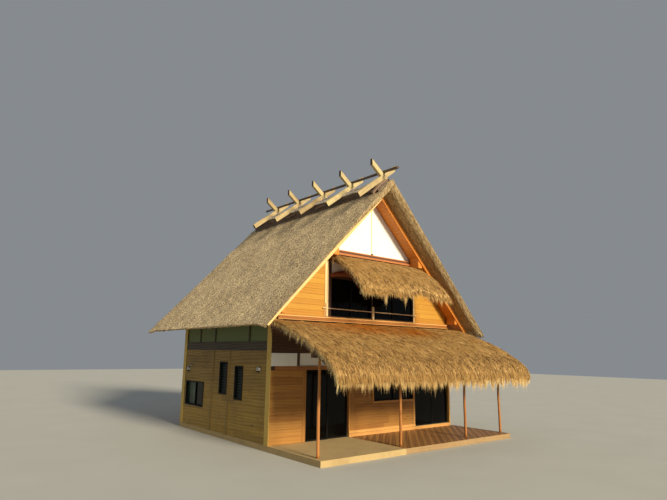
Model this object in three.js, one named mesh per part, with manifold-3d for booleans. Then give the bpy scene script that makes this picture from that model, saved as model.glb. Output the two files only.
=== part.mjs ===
// Thatched farmhouse with a gabled main roof, a lean-to over a veranda and a hood over the loft window.
// Millimetres, +Z up. The gable front faces -Y, the ridge runs along Y, and z = 0 is the ground.
// While it is built, y = 0 is the outer face of the front wall; the whole is centred at the end.

import * as THREE from 'three';
import { mergeVertices } from 'three/addons/utils/BufferGeometryUtils.js';
import { ConvexGeometry } from 'three/addons/geometries/ConvexGeometry.js';
import Module from 'manifold-3d';

const wasm = await Module();
wasm.setup();

// Driving sizes of the house
const HALF_WIDTH = 3825;
const DEPTH = 5960;
const SEAT_GAP = 0.3;
const POST_SIZE = 135;
const SLIM_POST = 60;
const BOARD_RECESS = 15;
const PLASTER_RECESS = 30;
const WALL_BACK = 135;
const PLASTER_BACK = 120;

// Levels
const SLAB_TOP = 150;
const RAISED_TOP = 250;
const DOOR_HEAD = 2150;
const LINTEL_TOP = 2260;
const FRONT_FRIEZE_TOP = 2620;
const SIDE_BEAM_BOTTOM = 2675;
const SIDE_BEAM_TOP = 2917;
const LOFT_FLOOR_BOTTOM = 2700;
const LOFT_FLOOR_TOP = 2900;
const LOFT_SILL_BOTTOM = 3573;
const LOFT_SILL_TOP = 3720;
const LOFT_SILL_FRONT = -80;
const GABLE_BEAM_BOTTOM = 5710;
const GABLE_BEAM_TOP = 5870;

// Main roof: the top of the thatch is z = level - THATCH_SLOPE * |x|, and its boards lie at level - BOARD_SLOPE * |x|,
// so that the thatch is thinner at the eaves
const THATCH_SLOPE = 1.07;
const BOARD_SLOPE = 1.03;
const VERGE_SLOPE = 1.05;
const SOFFIT_LEVEL = 7800;
const BOARDS_TOP_LEVEL = 7858;
const BARGE_TOP_LEVEL = 7920;
const BARGE_BOTTOM_LEVEL = 7710;
const THATCH_LEVEL = 8290;
const EAVE_REACH = 4655;
const EAVE_ROUNDING = 70;
const BOARDS_REACH = 4300;
const BARGE_REACH = 4350;
const VERGE_FRONT = -1020;
const VERGE_REAR = 7620;
const VERGE_CUT = 530;
const VERGE_LEVEL = 8190;
const BARGE_THICKNESS = 40;
const BARGE_FRONT = VERGE_FRONT + VERGE_CUT;
const BARGE_REAR = VERGE_REAR - VERGE_CUT;
const NOTCH_LEVEL = BARGE_TOP_LEVEL + 0.5;
const VERGE_OVERRUN = 12;
const FAR = 6000;

// Ridge
const CAP_LEVEL = 8420;
const CAP_SLOPE = 0.765;
const CAP_REACH = 620;
const CAP_FOOT = 500;
const CAP_FRONT = -800;
const CAP_REAR = 7150;
const RIDGE_LIFT_FIRST = -35;
const RIDGE_RISE = 0.0235;
const PAIR_FIRST = -600;
const PAIR_PITCH = 1645;
const PAIR_COUNT = 5;
const PAIR_LEG = 1070;
const PAIR_HORN = 535;
const PAIR_DEPTH = 170;
const PAIR_THICKNESS = 115;
const POLE_RADIUS = 44;
const POLE_FRONT = -1250;
const POLE_REAR = 6950;
const ROUND_SIDES = 12;

// Veranda and lean-to
const DECK_FRONT = -2340;
const DECK_LEFT = -925;
const DECK_RIGHT = 3945;
const DECK_BOARD = 35;
const JOIST_WIDTH = 45;
const JOIST_COUNT = 5;
const VERANDA_POST_Y = -2020;
const VERANDA_POST_X = [-3665, -805, 2065, 3890];
const VERANDA_POST_RADIUS = 42;
const VERANDA_BEAM_BOTTOM = 2520;
const VERANDA_BEAM_HEIGHT = 120;
const VERANDA_BEAM_WIDTH = 100;
const LEAN_HALF_WIDTH = 3975;
const LEAN_RAFTER_COUNT = 9;
const LEAN_RAFTER_REACH = 3850;
const RAFTER_WIDTH = 60;
const RAFTER_DEPTH = 95;
const LEAN_TOP = [[0, 3572], [-650, 3450], [-1330, 3215], [-2130, 2880], [-2850, 2473], [-3090, 2235], [-3200, 2040]];
const LEAN_FRINGE = [[-3130, 1780], [-2970, 1780]];
const LEAN_UNDER = [[-2900, 2180], [-2665, 2380], [-2130, 2675], [-1330, 3010], [-650, 3250], [0, 3390]];

// Hood over the loft window
const HOOD_LEFT = -1870;
const HOOD_RIGHT = 2020;
const HOOD_RAFTER_COUNT = 5;
const HOOD_RAFTER_DEPTH = 70;
const HOOD_RAFTER_WIDTH = 50;
const HOOD_LEDGER_FRONT = 50;
const HOOD_TOP = [[0, 5708], [-250, 5630], [-600, 5430], [-1100, 5080], [-1550, 4630], [-1680, 4380]];
const HOOD_FRINGE = [[-1650, 4310], [-1570, 4310]];
const HOOD_UNDER = [[-1450, 4520], [-1050, 4960], [-600, 5300], [-250, 5490], [0, 5570]];

// Doors and windows, as x or y ranges and z ranges
const ENTRANCE = { from: -2605, to: -975, foot: SLAB_TOP };
const VERANDA_DOORWAY = { from: 1985, to: 3765, foot: RAISED_TOP };
const DOOR_OVERLAP = 50;
const DOOR_THICKNESS = 35;
const DOOR_CLEARANCE = 5;
const OUTER_TRACK = 25;
const INNER_TRACK = 70;
const ROLLER_LENGTH = 60;
const ROLLER_WIDTH = 12;
const FRONT_WINDOW = { a0: 65, a1: 1925, z0: 1150, z1: DOOR_HEAD };
const LOFT_WINDOW = { a0: -1840, a1: 1970, z0: 3742, z1: 4980 };
const SIDE_WINDOW = { a0: 4185, a1: 5620, z0: 800, z1: 1617 };
const LOUVRE_1 = { a0: 2558, a1: 3070, z0: 1317, z1: 2320 };
const LOUVRE_2 = { a0: 1550, a1: 2056, z0: 1219, z1: 2216 };
const RIGHT_WINDOW = { a0: 2200, a1: 3650, z0: 1150, z1: 2100 };
const REAR_WINDOW = { a0: -725, a1: 725, z0: 1150, z1: 2100 };
const REAR_LOFT_WINDOW = { a0: -700, a1: 700, z0: 4000, z1: 4980 };
const WINDOW_DEPTH = 90;
const SASH = 45;
const GLASS = 12;
const LOUVRE_BLADES = 14;

// Loft rail
const RAIL_HEIGHT = 3972;
const RAIL_RADIUS = 22;
const RAIL_Y = -32;
const RAIL_FROM = -2070;
const RAIL_TO = 2090;
const UPRIGHT_X = [-1920, 5];
const UPRIGHT_RADIUS = 45;
const UPRIGHT_TOP = 4150;

// Materials, one function for each finish seen on the house
const finish = (color, roughness, metalness = 0) => new THREE.MeshStandardMaterial({ color, roughness, metalness });
const thatchGrey = () => finish(0x9a8565, 0.95);
const strawGold = () => finish(0xb98f4e, 0.95);
const cedarBoards = () => finish(0xc98a3c, 0.7);
const darkTimber = () => finish(0x4a2f1a, 0.75);
const creamTimber = () => finish(0xe2c48c, 0.7);
const limePlaster = () => finish(0xe9e8e2, 0.9);
const barkBrown = () => finish(0x3a2c22, 0.9);
const blackFrame = () => finish(0x15171a, 0.3, 0.2);
const deckTimber = () => finish(0x8a5a34, 0.7);
const paleConcrete = () => finish(0xb9a386, 0.85);

// Shapes
const box = (x0, x1, y0, y1, z0, z1) => {
  const geometry = new THREE.BoxGeometry(x1 - x0, y1 - y0, z1 - z0);
  geometry.translate((x0 + x1) / 2, (y0 + y1) / 2, (z0 + z1) / 2);
  return geometry;
};

const outline = (points) => new THREE.Shape(points.map(([a, b]) => new THREE.Vector2(a, b)));

// A section drawn in x and z, carried along y
const prismAlongY = (points, y0, y1) => {
  const geometry = new THREE.ExtrudeGeometry(outline(points), { depth: y1 - y0, bevelEnabled: false });
  const turn = new THREE.Matrix4().makeBasis(
    new THREE.Vector3(1, 0, 0), new THREE.Vector3(0, 0, 1), new THREE.Vector3(0, -1, 0));
  geometry.applyMatrix4(turn);
  geometry.translate(0, y1, 0);
  return geometry;
};

// A section drawn in y and z, carried along x
const prismAlongX = (points, x0, x1) => {
  const geometry = new THREE.ExtrudeGeometry(outline(points), { depth: x1 - x0, bevelEnabled: false });
  const turn = new THREE.Matrix4().makeBasis(
    new THREE.Vector3(0, 1, 0), new THREE.Vector3(0, 0, 1), new THREE.Vector3(1, 0, 0));
  geometry.applyMatrix4(turn);
  geometry.translate(x0, 0, 0);
  return geometry;
};

const roundBar = (radius, from, to) => {
  const axis = new THREE.Vector3().subVectors(to, from);
  const geometry = new THREE.CylinderGeometry(radius, radius, axis.length(), ROUND_SIDES);
  const turn = new THREE.Quaternion().setFromUnitVectors(new THREE.Vector3(0, 1, 0), axis.clone().normalize());
  geometry.applyQuaternion(turn);
  geometry.translate((from.x + to.x) / 2, (from.y + to.y) / 2, (from.z + to.z) / 2);
  return geometry;
};

// Joins and cuts
const toSolid = (geometry) => {
  const bare = geometry.clone();
  bare.deleteAttribute('normal');
  bare.deleteAttribute('uv');
  const merged = mergeVertices(bare, 1e-3);
  return new wasm.Manifold(new wasm.Mesh({
    numProp: 3,
    vertProperties: new Float32Array(merged.attributes.position.array),
    triVerts: new Uint32Array(merged.index.array),
  }));
};

const toGeometry = (solid) => {
  const mesh = solid.getMesh();
  const geometry = new THREE.BufferGeometry();
  geometry.setAttribute('position', new THREE.BufferAttribute(new Float32Array(mesh.vertProperties), 3));
  geometry.setIndex(new THREE.BufferAttribute(new Uint32Array(mesh.triVerts), 1));
  geometry.computeVertexNormals();
  return geometry;
};

const join = (...geometries) => toGeometry(geometries.map(toSolid).reduce((sum, next) => sum.add(next)));
const cut = (geometry, ...tools) => toGeometry(tools.map(toSolid).reduce((rest, next) => rest.subtract(next), toSolid(geometry)));

// Roof planes
const thatchHeight = (level, x) => level - THATCH_SLOPE * Math.abs(x);
const roofHeight = (level, x) => level - BOARD_SLOPE * Math.abs(x);
const roofReach = (level, z) => (level - z) / BOARD_SLOPE;

const house = new THREE.Group();
const addPiece = (name, geometry, material) => {
  const mesh = new THREE.Mesh(geometry, material);
  mesh.name = name;
  house.add(mesh);
};

// Ground floor: a foundation slab, with a raised floor right of the entrance
const buildGroundFloor = () => {
  const slab = box(-HALF_WIDTH, HALF_WIDTH, 0, DEPTH, 0, SLAB_TOP);
  const inside = WALL_BACK + SEAT_GAP;
  const front = box(ENTRANCE.to, VERANDA_DOORWAY.to - SEAT_GAP, BOARD_RECESS, POST_SIZE, SLAB_TOP - 1, RAISED_TOP);
  const room = box(ENTRANCE.to, HALF_WIDTH - inside, POST_SIZE - 1, DEPTH - inside, SLAB_TOP - 1, RAISED_TOP);
  addPiece('ground_floor', join(slab, front, room), paleConcrete());
};

// Veranda: a smooth entrance slab on the left and a boarded deck on joists on the right
const buildVeranda = () => {
  const back = -SEAT_GAP;
  addPiece('entrance_slab', box(-HALF_WIDTH, DECK_LEFT - SEAT_GAP, DECK_FRONT, back, 0, SLAB_TOP), paleConcrete());
  const parts = [box(DECK_LEFT, DECK_RIGHT, DECK_FRONT, back, SLAB_TOP - DECK_BOARD, SLAB_TOP)];
  const pitch = (back - JOIST_WIDTH - DECK_FRONT) / (JOIST_COUNT - 1);
  for (let i = 0; i < JOIST_COUNT; i += 1) {
    const y = DECK_FRONT + i * pitch;
    parts.push(box(DECK_LEFT, DECK_RIGHT, y, y + JOIST_WIDTH, 0, SLAB_TOP - DECK_BOARD + 1));
  }
  addPiece('veranda_deck', join(...parts), deckTimber());
  VERANDA_POST_X.forEach((x, i) => {
    const foot = new THREE.Vector3(x, VERANDA_POST_Y, SLAB_TOP + SEAT_GAP);
    const head = new THREE.Vector3(x, VERANDA_POST_Y, VERANDA_BEAM_BOTTOM - SEAT_GAP);
    addPiece(`veranda_post_${i + 1}`, roundBar(VERANDA_POST_RADIUS, foot, head), creamTimber());
  });
};

// The side of a roof: a prism of everything above a roof plane, on one side of the house
const aboveRoofPlane = (level, side, y0, y1) => prismAlongY([
  [side * 500, roofHeight(level, 500)],
  [side * FAR, roofHeight(level, FAR)],
  [side * FAR, THATCH_LEVEL],
  [side * 500, THATCH_LEVEL],
], y0, y1);

const shift = (points, dy, dz) => points.map(([y, z]) => [y + dy, z + dz]);

// Rafters that follow the underside of a straw layer, with a ledger on the wall and a bar across them
const buildRafters = (under, first, last, count, width, depth, cross, ledger) => {
  const top = shift(under, 0, -SEAT_GAP * 1.5);
  const bottom = shift(under, 0, -depth).reverse();
  const parts = [cross, ledger];
  for (let i = 0; i < count; i += 1) {
    const x = first + (last - first) * i / (count - 1);
    parts.push(prismAlongX([...top, ...bottom], x - width / 2, x + width / 2));
  }
  return join(...parts);
};

const buildLeanTo = () => {
  const section = [...LEAN_TOP, ...LEAN_FRINGE, ...LEAN_UNDER];
  const straw = prismAlongX(shift(section, -SEAT_GAP, 0), -LEAN_HALF_WIDTH, LEAN_HALF_WIDTH);
  const trims = [];
  for (const side of [-1, 1]) {
    trims.push(aboveRoofPlane(SOFFIT_LEVEL - 1, side, BARGE_FRONT + BARGE_THICKNESS - 1, 200));
    trims.push(aboveRoofPlane(BARGE_BOTTOM_LEVEL - 1, side, BARGE_FRONT - 1, BARGE_FRONT + BARGE_THICKNESS + 1));
  }
  addPiece('lean_to_thatch', cut(straw, ...trims), strawGold());

  const ledger = box(-LEAN_RAFTER_REACH, LEAN_RAFTER_REACH, -60, -SEAT_GAP, 3180, 3310);
  const half = VERANDA_BEAM_WIDTH / 2;
  const beam = box(-LEAN_RAFTER_REACH - half, DECK_RIGHT, VERANDA_POST_Y - half, VERANDA_POST_Y + half,
    VERANDA_BEAM_BOTTOM, VERANDA_BEAM_BOTTOM + VERANDA_BEAM_HEIGHT);
  const under = shift(LEAN_UNDER.slice(1), -SEAT_GAP, 0);
  addPiece('lean_to_frame', buildRafters(under, -LEAN_RAFTER_REACH, LEAN_RAFTER_REACH, LEAN_RAFTER_COUNT,
    RAFTER_WIDTH, RAFTER_DEPTH, beam, ledger), darkTimber());
};

const buildHood = () => {
  const section = [...HOOD_TOP, ...HOOD_FRINGE, ...HOOD_UNDER];
  const straw = prismAlongX(shift(section, -SEAT_GAP, 0), HOOD_LEFT, HOOD_RIGHT);
  const trims = [
    aboveRoofPlane(SOFFIT_LEVEL - 1, 1, BARGE_FRONT + BARGE_THICKNESS - 1, 200),
    aboveRoofPlane(BARGE_BOTTOM_LEVEL - 1, 1, BARGE_FRONT - 1, BARGE_FRONT + BARGE_THICKNESS + 1),
  ];
  addPiece('hood_thatch', cut(straw, ...trims), strawGold());

  const inset = HOOD_RAFTER_WIDTH / 2 + 5;
  const first = HOOD_LEFT + inset;
  const last = HOOD_RIGHT - inset - 60;
  const ledger = box(first, last, -HOOD_LEDGER_FRONT, BOARD_RECESS - SEAT_GAP, 5440, 5530);
  const bar = box(first, last, -1090, -1040, 4845, 4895);
  const under = shift(HOOD_UNDER, -SEAT_GAP, 0);
  addPiece('hood_frame', buildRafters(under, first, last, HOOD_RAFTER_COUNT,
    HOOD_RAFTER_WIDTH, HOOD_RAFTER_DEPTH, bar, ledger), darkTimber());
};

// Main roof: two thick slopes of thatch whose verges are cut back to the bargeboards
const vergeCutter = (yOut, yIn) => {
  const rise = (VERGE_LEVEL - NOTCH_LEVEL) / (yOut - yIn);
  const past = Math.sign(yOut - yIn) * VERGE_OVERRUN;
  const ends = [
    [yOut + past, VERGE_LEVEL + past * rise, VERGE_SLOPE],
    [yIn - past, NOTCH_LEVEL - past * rise, BOARD_SLOPE],
  ];
  const corners = [];
  for (const [y, level, slope] of ends) {
    corners.push(new THREE.Vector3(0, y, level));
    corners.push(new THREE.Vector3(-FAR, y, level - slope * FAR));
    corners.push(new THREE.Vector3(FAR, y, level - slope * FAR));
  }
  return new ConvexGeometry(corners);
};

// Everything under the notch plane, out past the verge
const bargeNotch = (y0, y1) => prismAlongY([
  [-FAR, roofHeight(NOTCH_LEVEL, FAR)],
  [FAR, roofHeight(NOTCH_LEVEL, FAR)],
  [0, NOTCH_LEVEL],
], y0, y1);

const buildMainRoof = () => {
  const ridge = SEAT_GAP / 2;
  const under = BOARDS_TOP_LEVEL + SEAT_GAP * 1.5;
  const lipZ = thatchHeight(THATCH_LEVEL, EAVE_REACH);
  const section = [
    [ridge, thatchHeight(THATCH_LEVEL, ridge)],
    [EAVE_REACH - EAVE_ROUNDING, thatchHeight(THATCH_LEVEL, EAVE_REACH - EAVE_ROUNDING)],
    [EAVE_REACH - 12, lipZ + 28],
    [EAVE_REACH, lipZ],
    [EAVE_REACH - 40, lipZ - 40],
    [BOARDS_REACH + 10, roofHeight(under, BOARDS_REACH + 10)],
    [ridge, roofHeight(under, ridge)],
  ];
  const behind = BARGE_THICKNESS + SEAT_GAP;
  for (const [name, side] of [['left', -1], ['right', 1]]) {
    const slope = section.map(([x, z]) => [side * x, z]);
    const thatch = cut(prismAlongY(slope, VERGE_FRONT, VERGE_REAR),
      vergeCutter(VERGE_FRONT, BARGE_FRONT),
      vergeCutter(VERGE_REAR, BARGE_REAR),
      bargeNotch(VERGE_FRONT - VERGE_OVERRUN, BARGE_FRONT + behind),
      bargeNotch(BARGE_REAR - behind, VERGE_REAR + VERGE_OVERRUN));
    addPiece(`main_thatch_${name}`, thatch, thatchGrey());

    const boards = [
      [side * SEAT_GAP, roofHeight(SOFFIT_LEVEL, SEAT_GAP)],
      [side * BOARDS_REACH, roofHeight(SOFFIT_LEVEL, BOARDS_REACH)],
      [side * BOARDS_REACH, roofHeight(BOARDS_TOP_LEVEL, BOARDS_REACH)],
      [side * SEAT_GAP, roofHeight(BOARDS_TOP_LEVEL, SEAT_GAP)],
    ];
    addPiece(`roof_boards_${name}`, prismAlongY(boards, BARGE_FRONT + BARGE_THICKNESS + SEAT_GAP,
      BARGE_REAR - BARGE_THICKNESS - SEAT_GAP), cedarBoards());
    const width = BARGE_TOP_LEVEL - BARGE_BOTTOM_LEVEL;
    const back = width * BOARD_SLOPE / (1 + BOARD_SLOPE ** 2);
    const barge = [
      [side * SEAT_GAP, roofHeight(BARGE_BOTTOM_LEVEL, SEAT_GAP)],
      [side * (BARGE_REACH - back), roofHeight(BARGE_BOTTOM_LEVEL, BARGE_REACH - back)],
      [side * BARGE_REACH, roofHeight(BARGE_TOP_LEVEL, BARGE_REACH)],
      [side * SEAT_GAP, roofHeight(BARGE_TOP_LEVEL, SEAT_GAP)],
    ];
    addPiece(`bargeboard_front_${name}`, prismAlongY(barge, BARGE_FRONT, BARGE_FRONT + BARGE_THICKNESS), cedarBoards());
    addPiece(`bargeboard_rear_${name}`, prismAlongY(barge, BARGE_REAR - BARGE_THICKNESS, BARGE_REAR), cedarBoards());
  }
};

// The whole ridge rises a little from the gable front to the rear
const ridgeLift = (y) => RIDGE_LIFT_FIRST + RIDGE_RISE * (y - PAIR_FIRST);

// Ridge: a bark saddle, five pairs of crossed timbers astride it, and a pole in their forks
const buildRidge = () => {
  const saddle = (x) => CAP_LEVEL - CAP_SLOPE * x;
  const seat = THATCH_LEVEL + SEAT_GAP * 1.5;
  const section = [
    [0, CAP_LEVEL], [CAP_REACH, saddle(CAP_REACH)], [CAP_FOOT, thatchHeight(seat, CAP_FOOT)],
    [0, seat], [-CAP_FOOT, thatchHeight(seat, CAP_FOOT)], [-CAP_REACH, saddle(CAP_REACH)],
  ];
  const cap = prismAlongY(section, CAP_FRONT, CAP_REAR);
  const corners = cap.attributes.position;
  for (let i = 0; i < corners.count; i += 1) {
    const onTop = corners.getZ(i) > thatchHeight(seat, corners.getX(i)) + 1;
    if (onTop) corners.setZ(i, corners.getZ(i) + ridgeLift(corners.getY(i)));
  }
  addPiece('ridge_cap', cap, barkBrown());

  const length = Math.hypot(1, CAP_SLOPE);
  const rise = PAIR_DEPTH * length;
  const legShift = PAIR_DEPTH * CAP_SLOPE / length;
  const timber = (side, level) => [
    [side * PAIR_LEG, level - CAP_SLOPE * PAIR_LEG],
    [side * (PAIR_LEG + legShift), level - CAP_SLOPE * PAIR_LEG + PAIR_DEPTH / length],
    [-side * PAIR_HORN, level + CAP_SLOPE * PAIR_HORN + rise],
    [-side * PAIR_HORN, level + CAP_SLOPE * PAIR_HORN],
  ];
  const seatLevel = (y) => CAP_LEVEL + SEAT_GAP * 1.5 + ridgeLift(y + PAIR_THICKNESS);
  for (let i = 0; i < PAIR_COUNT; i += 1) {
    const y = PAIR_FIRST + i * PAIR_PITCH;
    const [one, other] = [1, -1].map((side) => prismAlongY(timber(side, seatLevel(y)), y, y + PAIR_THICKNESS));
    addPiece(`ridge_pair_${i + 1}`, join(one, other), creamTimber());
  }
  const poleEnd = (y) => new THREE.Vector3(0, y, seatLevel(y) + rise + (POLE_RADIUS + SEAT_GAP) * length);
  addPiece('ridge_pole', roundBar(POLE_RADIUS, poleEnd(POLE_FRONT), poleEnd(POLE_REAR)), darkTimber());
};

// Side frames: two corner posts whose heads follow the roof, and the beam between them
const buildSideFrame = (name, side, frontPost) => {
  const under = SOFFIT_LEVEL - SEAT_GAP * 1.5;
  const post = (width, y0, y1) => prismAlongY([
    [side * HALF_WIDTH, SLAB_TOP + SEAT_GAP],
    [side * (HALF_WIDTH - width), SLAB_TOP + SEAT_GAP],
    [side * (HALF_WIDTH - width), roofHeight(under, HALF_WIDTH - width)],
    [side * HALF_WIDTH, roofHeight(under, HALF_WIDTH)],
  ], y0, y1);
  const xs = [side * HALF_WIDTH, side * (HALF_WIDTH - PLASTER_BACK)].sort((a, b) => a - b);
  const beam = box(xs[0], xs[1], POST_SIZE + SEAT_GAP, DEPTH - POST_SIZE + 1, SIDE_BEAM_BOTTOM, SIDE_BEAM_TOP);
  const tenon = Math.min(frontPost, PLASTER_BACK);
  const ends = [side * HALF_WIDTH, side * (HALF_WIDTH - tenon)].sort((a, b) => a - b);
  const joint = box(ends[0], ends[1], POST_SIZE - 1, POST_SIZE + 2, SIDE_BEAM_BOTTOM, SIDE_BEAM_TOP);
  addPiece(`${name}_frame`, join(post(frontPost, 0, POST_SIZE), post(POST_SIZE, DEPTH - POST_SIZE, DEPTH),
    beam, joint), cedarBoards());
};

const windowHole = (w, across) => (across
  ? box(w.a0, w.a1, -100, DEPTH + 100, w.z0, w.z1)
  : box(-HALF_WIDTH - 100, HALF_WIDTH + 100, w.a0, w.a1, w.z0, w.z1));

const buildSideWall = (name, side, windows) => {
  const range = (near, far) => [side * (HALF_WIDTH - near), side * (HALF_WIDTH - far)].sort((a, b) => a - b);
  const y0 = POST_SIZE + SEAT_GAP;
  const y1 = DEPTH - y0;
  const [x0, x1] = range(BOARD_RECESS, WALL_BACK);
  const wall = box(x0, x1, y0, y1, SLAB_TOP + SEAT_GAP, SIDE_BEAM_BOTTOM - SEAT_GAP);
  addPiece(`${name}_wall`, cut(wall, ...windows.map((w) => windowHole(w, false))), cedarBoards());
  const [p0, p1] = range(PLASTER_RECESS, PLASTER_BACK);
  const top = roofHeight(SOFFIT_LEVEL - SEAT_GAP * 1.5, HALF_WIDTH - PLASTER_RECESS);
  addPiece(`${name}_frieze`, box(p0, p1, y0, y1, SIDE_BEAM_TOP + SEAT_GAP, top), limePlaster());
};

// A slice of a gable between two levels, under the roof boards and between the corner posts
const gableSlice = (left, right, z0, z1, y0, y1) => {
  const under = SOFFIT_LEVEL - SEAT_GAP * 1.5;
  const side = (limit, sign) => {
    const points = [[sign * Math.min(limit, roofReach(under, z0)), z0]];
    if (roofReach(under, z0) > limit) points.push([sign * limit, roofHeight(under, limit)]);
    return points;
  };
  const peak = z1 < under ? [[-roofReach(under, z1), z1], [roofReach(under, z1), z1]] : [[0, under]];
  return prismAlongY([...side(left, -1), ...peak, ...side(right, 1).reverse()].reverse(), y0, y1);
};

const buildFrontWall = () => {
  const left = HALF_WIDTH - POST_SIZE - SEAT_GAP;
  const right = HALF_WIDTH - SLIM_POST - SEAT_GAP;
  const foot = SLAB_TOP + SEAT_GAP;
  const head = DOOR_HEAD - SEAT_GAP;
  addPiece('front_wall_left', box(-left, ENTRANCE.from, BOARD_RECESS, WALL_BACK, foot, head), cedarBoards());
  const middle = box(ENTRANCE.to, VERANDA_DOORWAY.from, BOARD_RECESS, WALL_BACK, RAISED_TOP + SEAT_GAP, head);
  const hole = { ...FRONT_WINDOW, z1: DOOR_HEAD + 100 };
  addPiece('front_wall_middle', cut(middle, windowHole(hole, true)), cedarBoards());
  addPiece('door_lintel', box(-left, right, 0, WALL_BACK, DOOR_HEAD, LINTEL_TOP - SEAT_GAP), cedarBoards());
  addPiece('front_frieze', box(-left, right, PLASTER_RECESS, PLASTER_BACK, LINTEL_TOP, FRONT_FRIEZE_TOP - SEAT_GAP),
    limePlaster());
  addPiece('front_upper_boards', box(-left, right, BOARD_RECESS, WALL_BACK, FRONT_FRIEZE_TOP,
    LOFT_SILL_BOTTOM - SEAT_GAP), darkTimber());
  addPiece('loft_sill_board', box(-left, right, LOFT_SILL_FRONT, BOARD_RECESS - SEAT_GAP, LOFT_SILL_BOTTOM, LOFT_SILL_TOP),
    cedarBoards());
  const loft = gableSlice(left, right, LOFT_SILL_BOTTOM, GABLE_BEAM_BOTTOM - SEAT_GAP, BOARD_RECESS, WALL_BACK);
  addPiece('front_loft_wall', cut(loft, windowHole(LOFT_WINDOW, true)), cedarBoards());
  addPiece('gable_beam', gableSlice(FAR, FAR, GABLE_BEAM_BOTTOM, GABLE_BEAM_TOP, -40, WALL_BACK), darkTimber());
  addPiece('front_gable_plaster', gableSlice(FAR, FAR, GABLE_BEAM_TOP + SEAT_GAP, FAR * 2, PLASTER_RECESS, PLASTER_BACK),
    limePlaster());
};

const buildRearWall = () => {
  const side = HALF_WIDTH - POST_SIZE - SEAT_GAP;
  const face = DEPTH - BOARD_RECESS;
  const back = DEPTH - WALL_BACK;
  const wall = box(-side, side, back, face, SLAB_TOP + SEAT_GAP, SIDE_BEAM_BOTTOM - SEAT_GAP);
  addPiece('rear_wall', cut(wall, windowHole(REAR_WINDOW, true)), cedarBoards());
  addPiece('rear_beam', box(-side, side, back, DEPTH, SIDE_BEAM_BOTTOM, SIDE_BEAM_TOP - SEAT_GAP), darkTimber());
  const loft = gableSlice(side, side, SIDE_BEAM_TOP, GABLE_BEAM_TOP - SEAT_GAP, back, face);
  addPiece('rear_loft_wall', cut(loft, windowHole(REAR_LOFT_WINDOW, true)), cedarBoards());
  addPiece('rear_gable_plaster', gableSlice(FAR, FAR, GABLE_BEAM_TOP, FAR * 2, DEPTH - PLASTER_BACK,
    DEPTH - PLASTER_RECESS), limePlaster());
};

// The loft floor hangs between the wall beams
const buildLoftFloor = () => {
  const side = HALF_WIDTH - PLASTER_BACK - SEAT_GAP;
  const inside = WALL_BACK + SEAT_GAP;
  addPiece('loft_floor', box(-side, side, inside, DEPTH - inside, LOFT_FLOOR_BOTTOM, LOFT_FLOOR_TOP), cedarBoards());
};

// A glazed panel drawn flat: u across, v up, thickness along w; pockets on both faces leave a sheet of glass
const glazedPanel = (width, height, depth, panes, sash, glass) => {
  let solid = toSolid(box(0, width, 0, depth, 0, height));
  const clear = (width - sash * (panes + 1)) / panes;
  const pocket = (depth - glass) / 2;
  for (let i = 0; i < panes; i += 1) {
    const u = sash + i * (clear + sash);
    solid = solid.subtract(toSolid(box(u, u + clear, -1, pocket, sash, height - sash)));
    solid = solid.subtract(toSolid(box(u, u + clear, depth - pocket, depth + 1, sash, height - sash)));
  }
  return toGeometry(solid);
};

// Louvre window: a frame with sloped blades across it and a sheet of glass behind them
const louvrePanel = (width, height, depth) => {
  const frame = glazedPanel(width, height, depth, 1, SASH, GLASS);
  const parts = [toSolid(frame)];
  const pitch = (height - 2 * SASH) / LOUVRE_BLADES;
  const reach = (depth - GLASS) / 2;
  for (let i = 0; i < LOUVRE_BLADES; i += 1) {
    const z = SASH + i * pitch;
    const blade = prismAlongX([[8, z + 6], [reach + 2, z + pitch * 0.6], [reach + 2, z + pitch * 0.6 + 8], [8, z + 14]],
      SASH - 1, width - SASH + 1);
    parts.push(toSolid(blade));
  }
  return toGeometry(parts.reduce((sum, next) => sum.add(next)));
};

// Windows stand in their holes with the seat gap all round, outer face set back from the wall face
const placeAcross = (w, build, faceY, outward) => {
  const geometry = build(w.a1 - w.a0 - 2 * SEAT_GAP, w.z1 - w.z0 - 2 * SEAT_GAP);
  if (outward > 0) {
    geometry.rotateZ(Math.PI);
    geometry.translate(w.a1 - SEAT_GAP, faceY, w.z0 + SEAT_GAP);
  } else {
    geometry.translate(w.a0 + SEAT_GAP, faceY, w.z0 + SEAT_GAP);
  }
  return geometry;
};

const placeAlong = (w, build, faceX, side) => {
  const geometry = build(w.a1 - w.a0 - 2 * SEAT_GAP, w.z1 - w.z0 - 2 * SEAT_GAP);
  geometry.rotateZ(side * Math.PI / 2);
  geometry.translate(faceX, side < 0 ? w.a1 - SEAT_GAP : w.a0 + SEAT_GAP, w.z0 + SEAT_GAP);
  return geometry;
};

const buildWindows = () => {
  const pair = (width, height) => glazedPanel(width, height, WINDOW_DEPTH, 2, SASH, GLASS);
  const loft = (width, height) => glazedPanel(width, height, WINDOW_DEPTH, 4, SASH, GLASS);
  const louvre = (width, height) => louvrePanel(width, height, WINDOW_DEPTH);
  const face = BOARD_RECESS + 10;
  addPiece('front_window', placeAcross(FRONT_WINDOW, pair, face, -1), blackFrame());
  addPiece('loft_window', placeAcross(LOFT_WINDOW, loft, face, -1), blackFrame());
  addPiece('rear_window', placeAcross(REAR_WINDOW, pair, DEPTH - face, 1), blackFrame());
  addPiece('rear_loft_window', placeAcross(REAR_LOFT_WINDOW, pair, DEPTH - face, 1), blackFrame());
  addPiece('side_window', placeAlong(SIDE_WINDOW, pair, -HALF_WIDTH + face, -1), blackFrame());
  addPiece('louvre_window_1', placeAlong(LOUVRE_1, louvre, -HALF_WIDTH + face, -1), blackFrame());
  addPiece('louvre_window_2', placeAlong(LOUVRE_2, louvre, -HALF_WIDTH + face, -1), blackFrame());
  addPiece('right_window', placeAlong(RIGHT_WINDOW, pair, HALF_WIDTH - face, 1), blackFrame());
};

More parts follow.
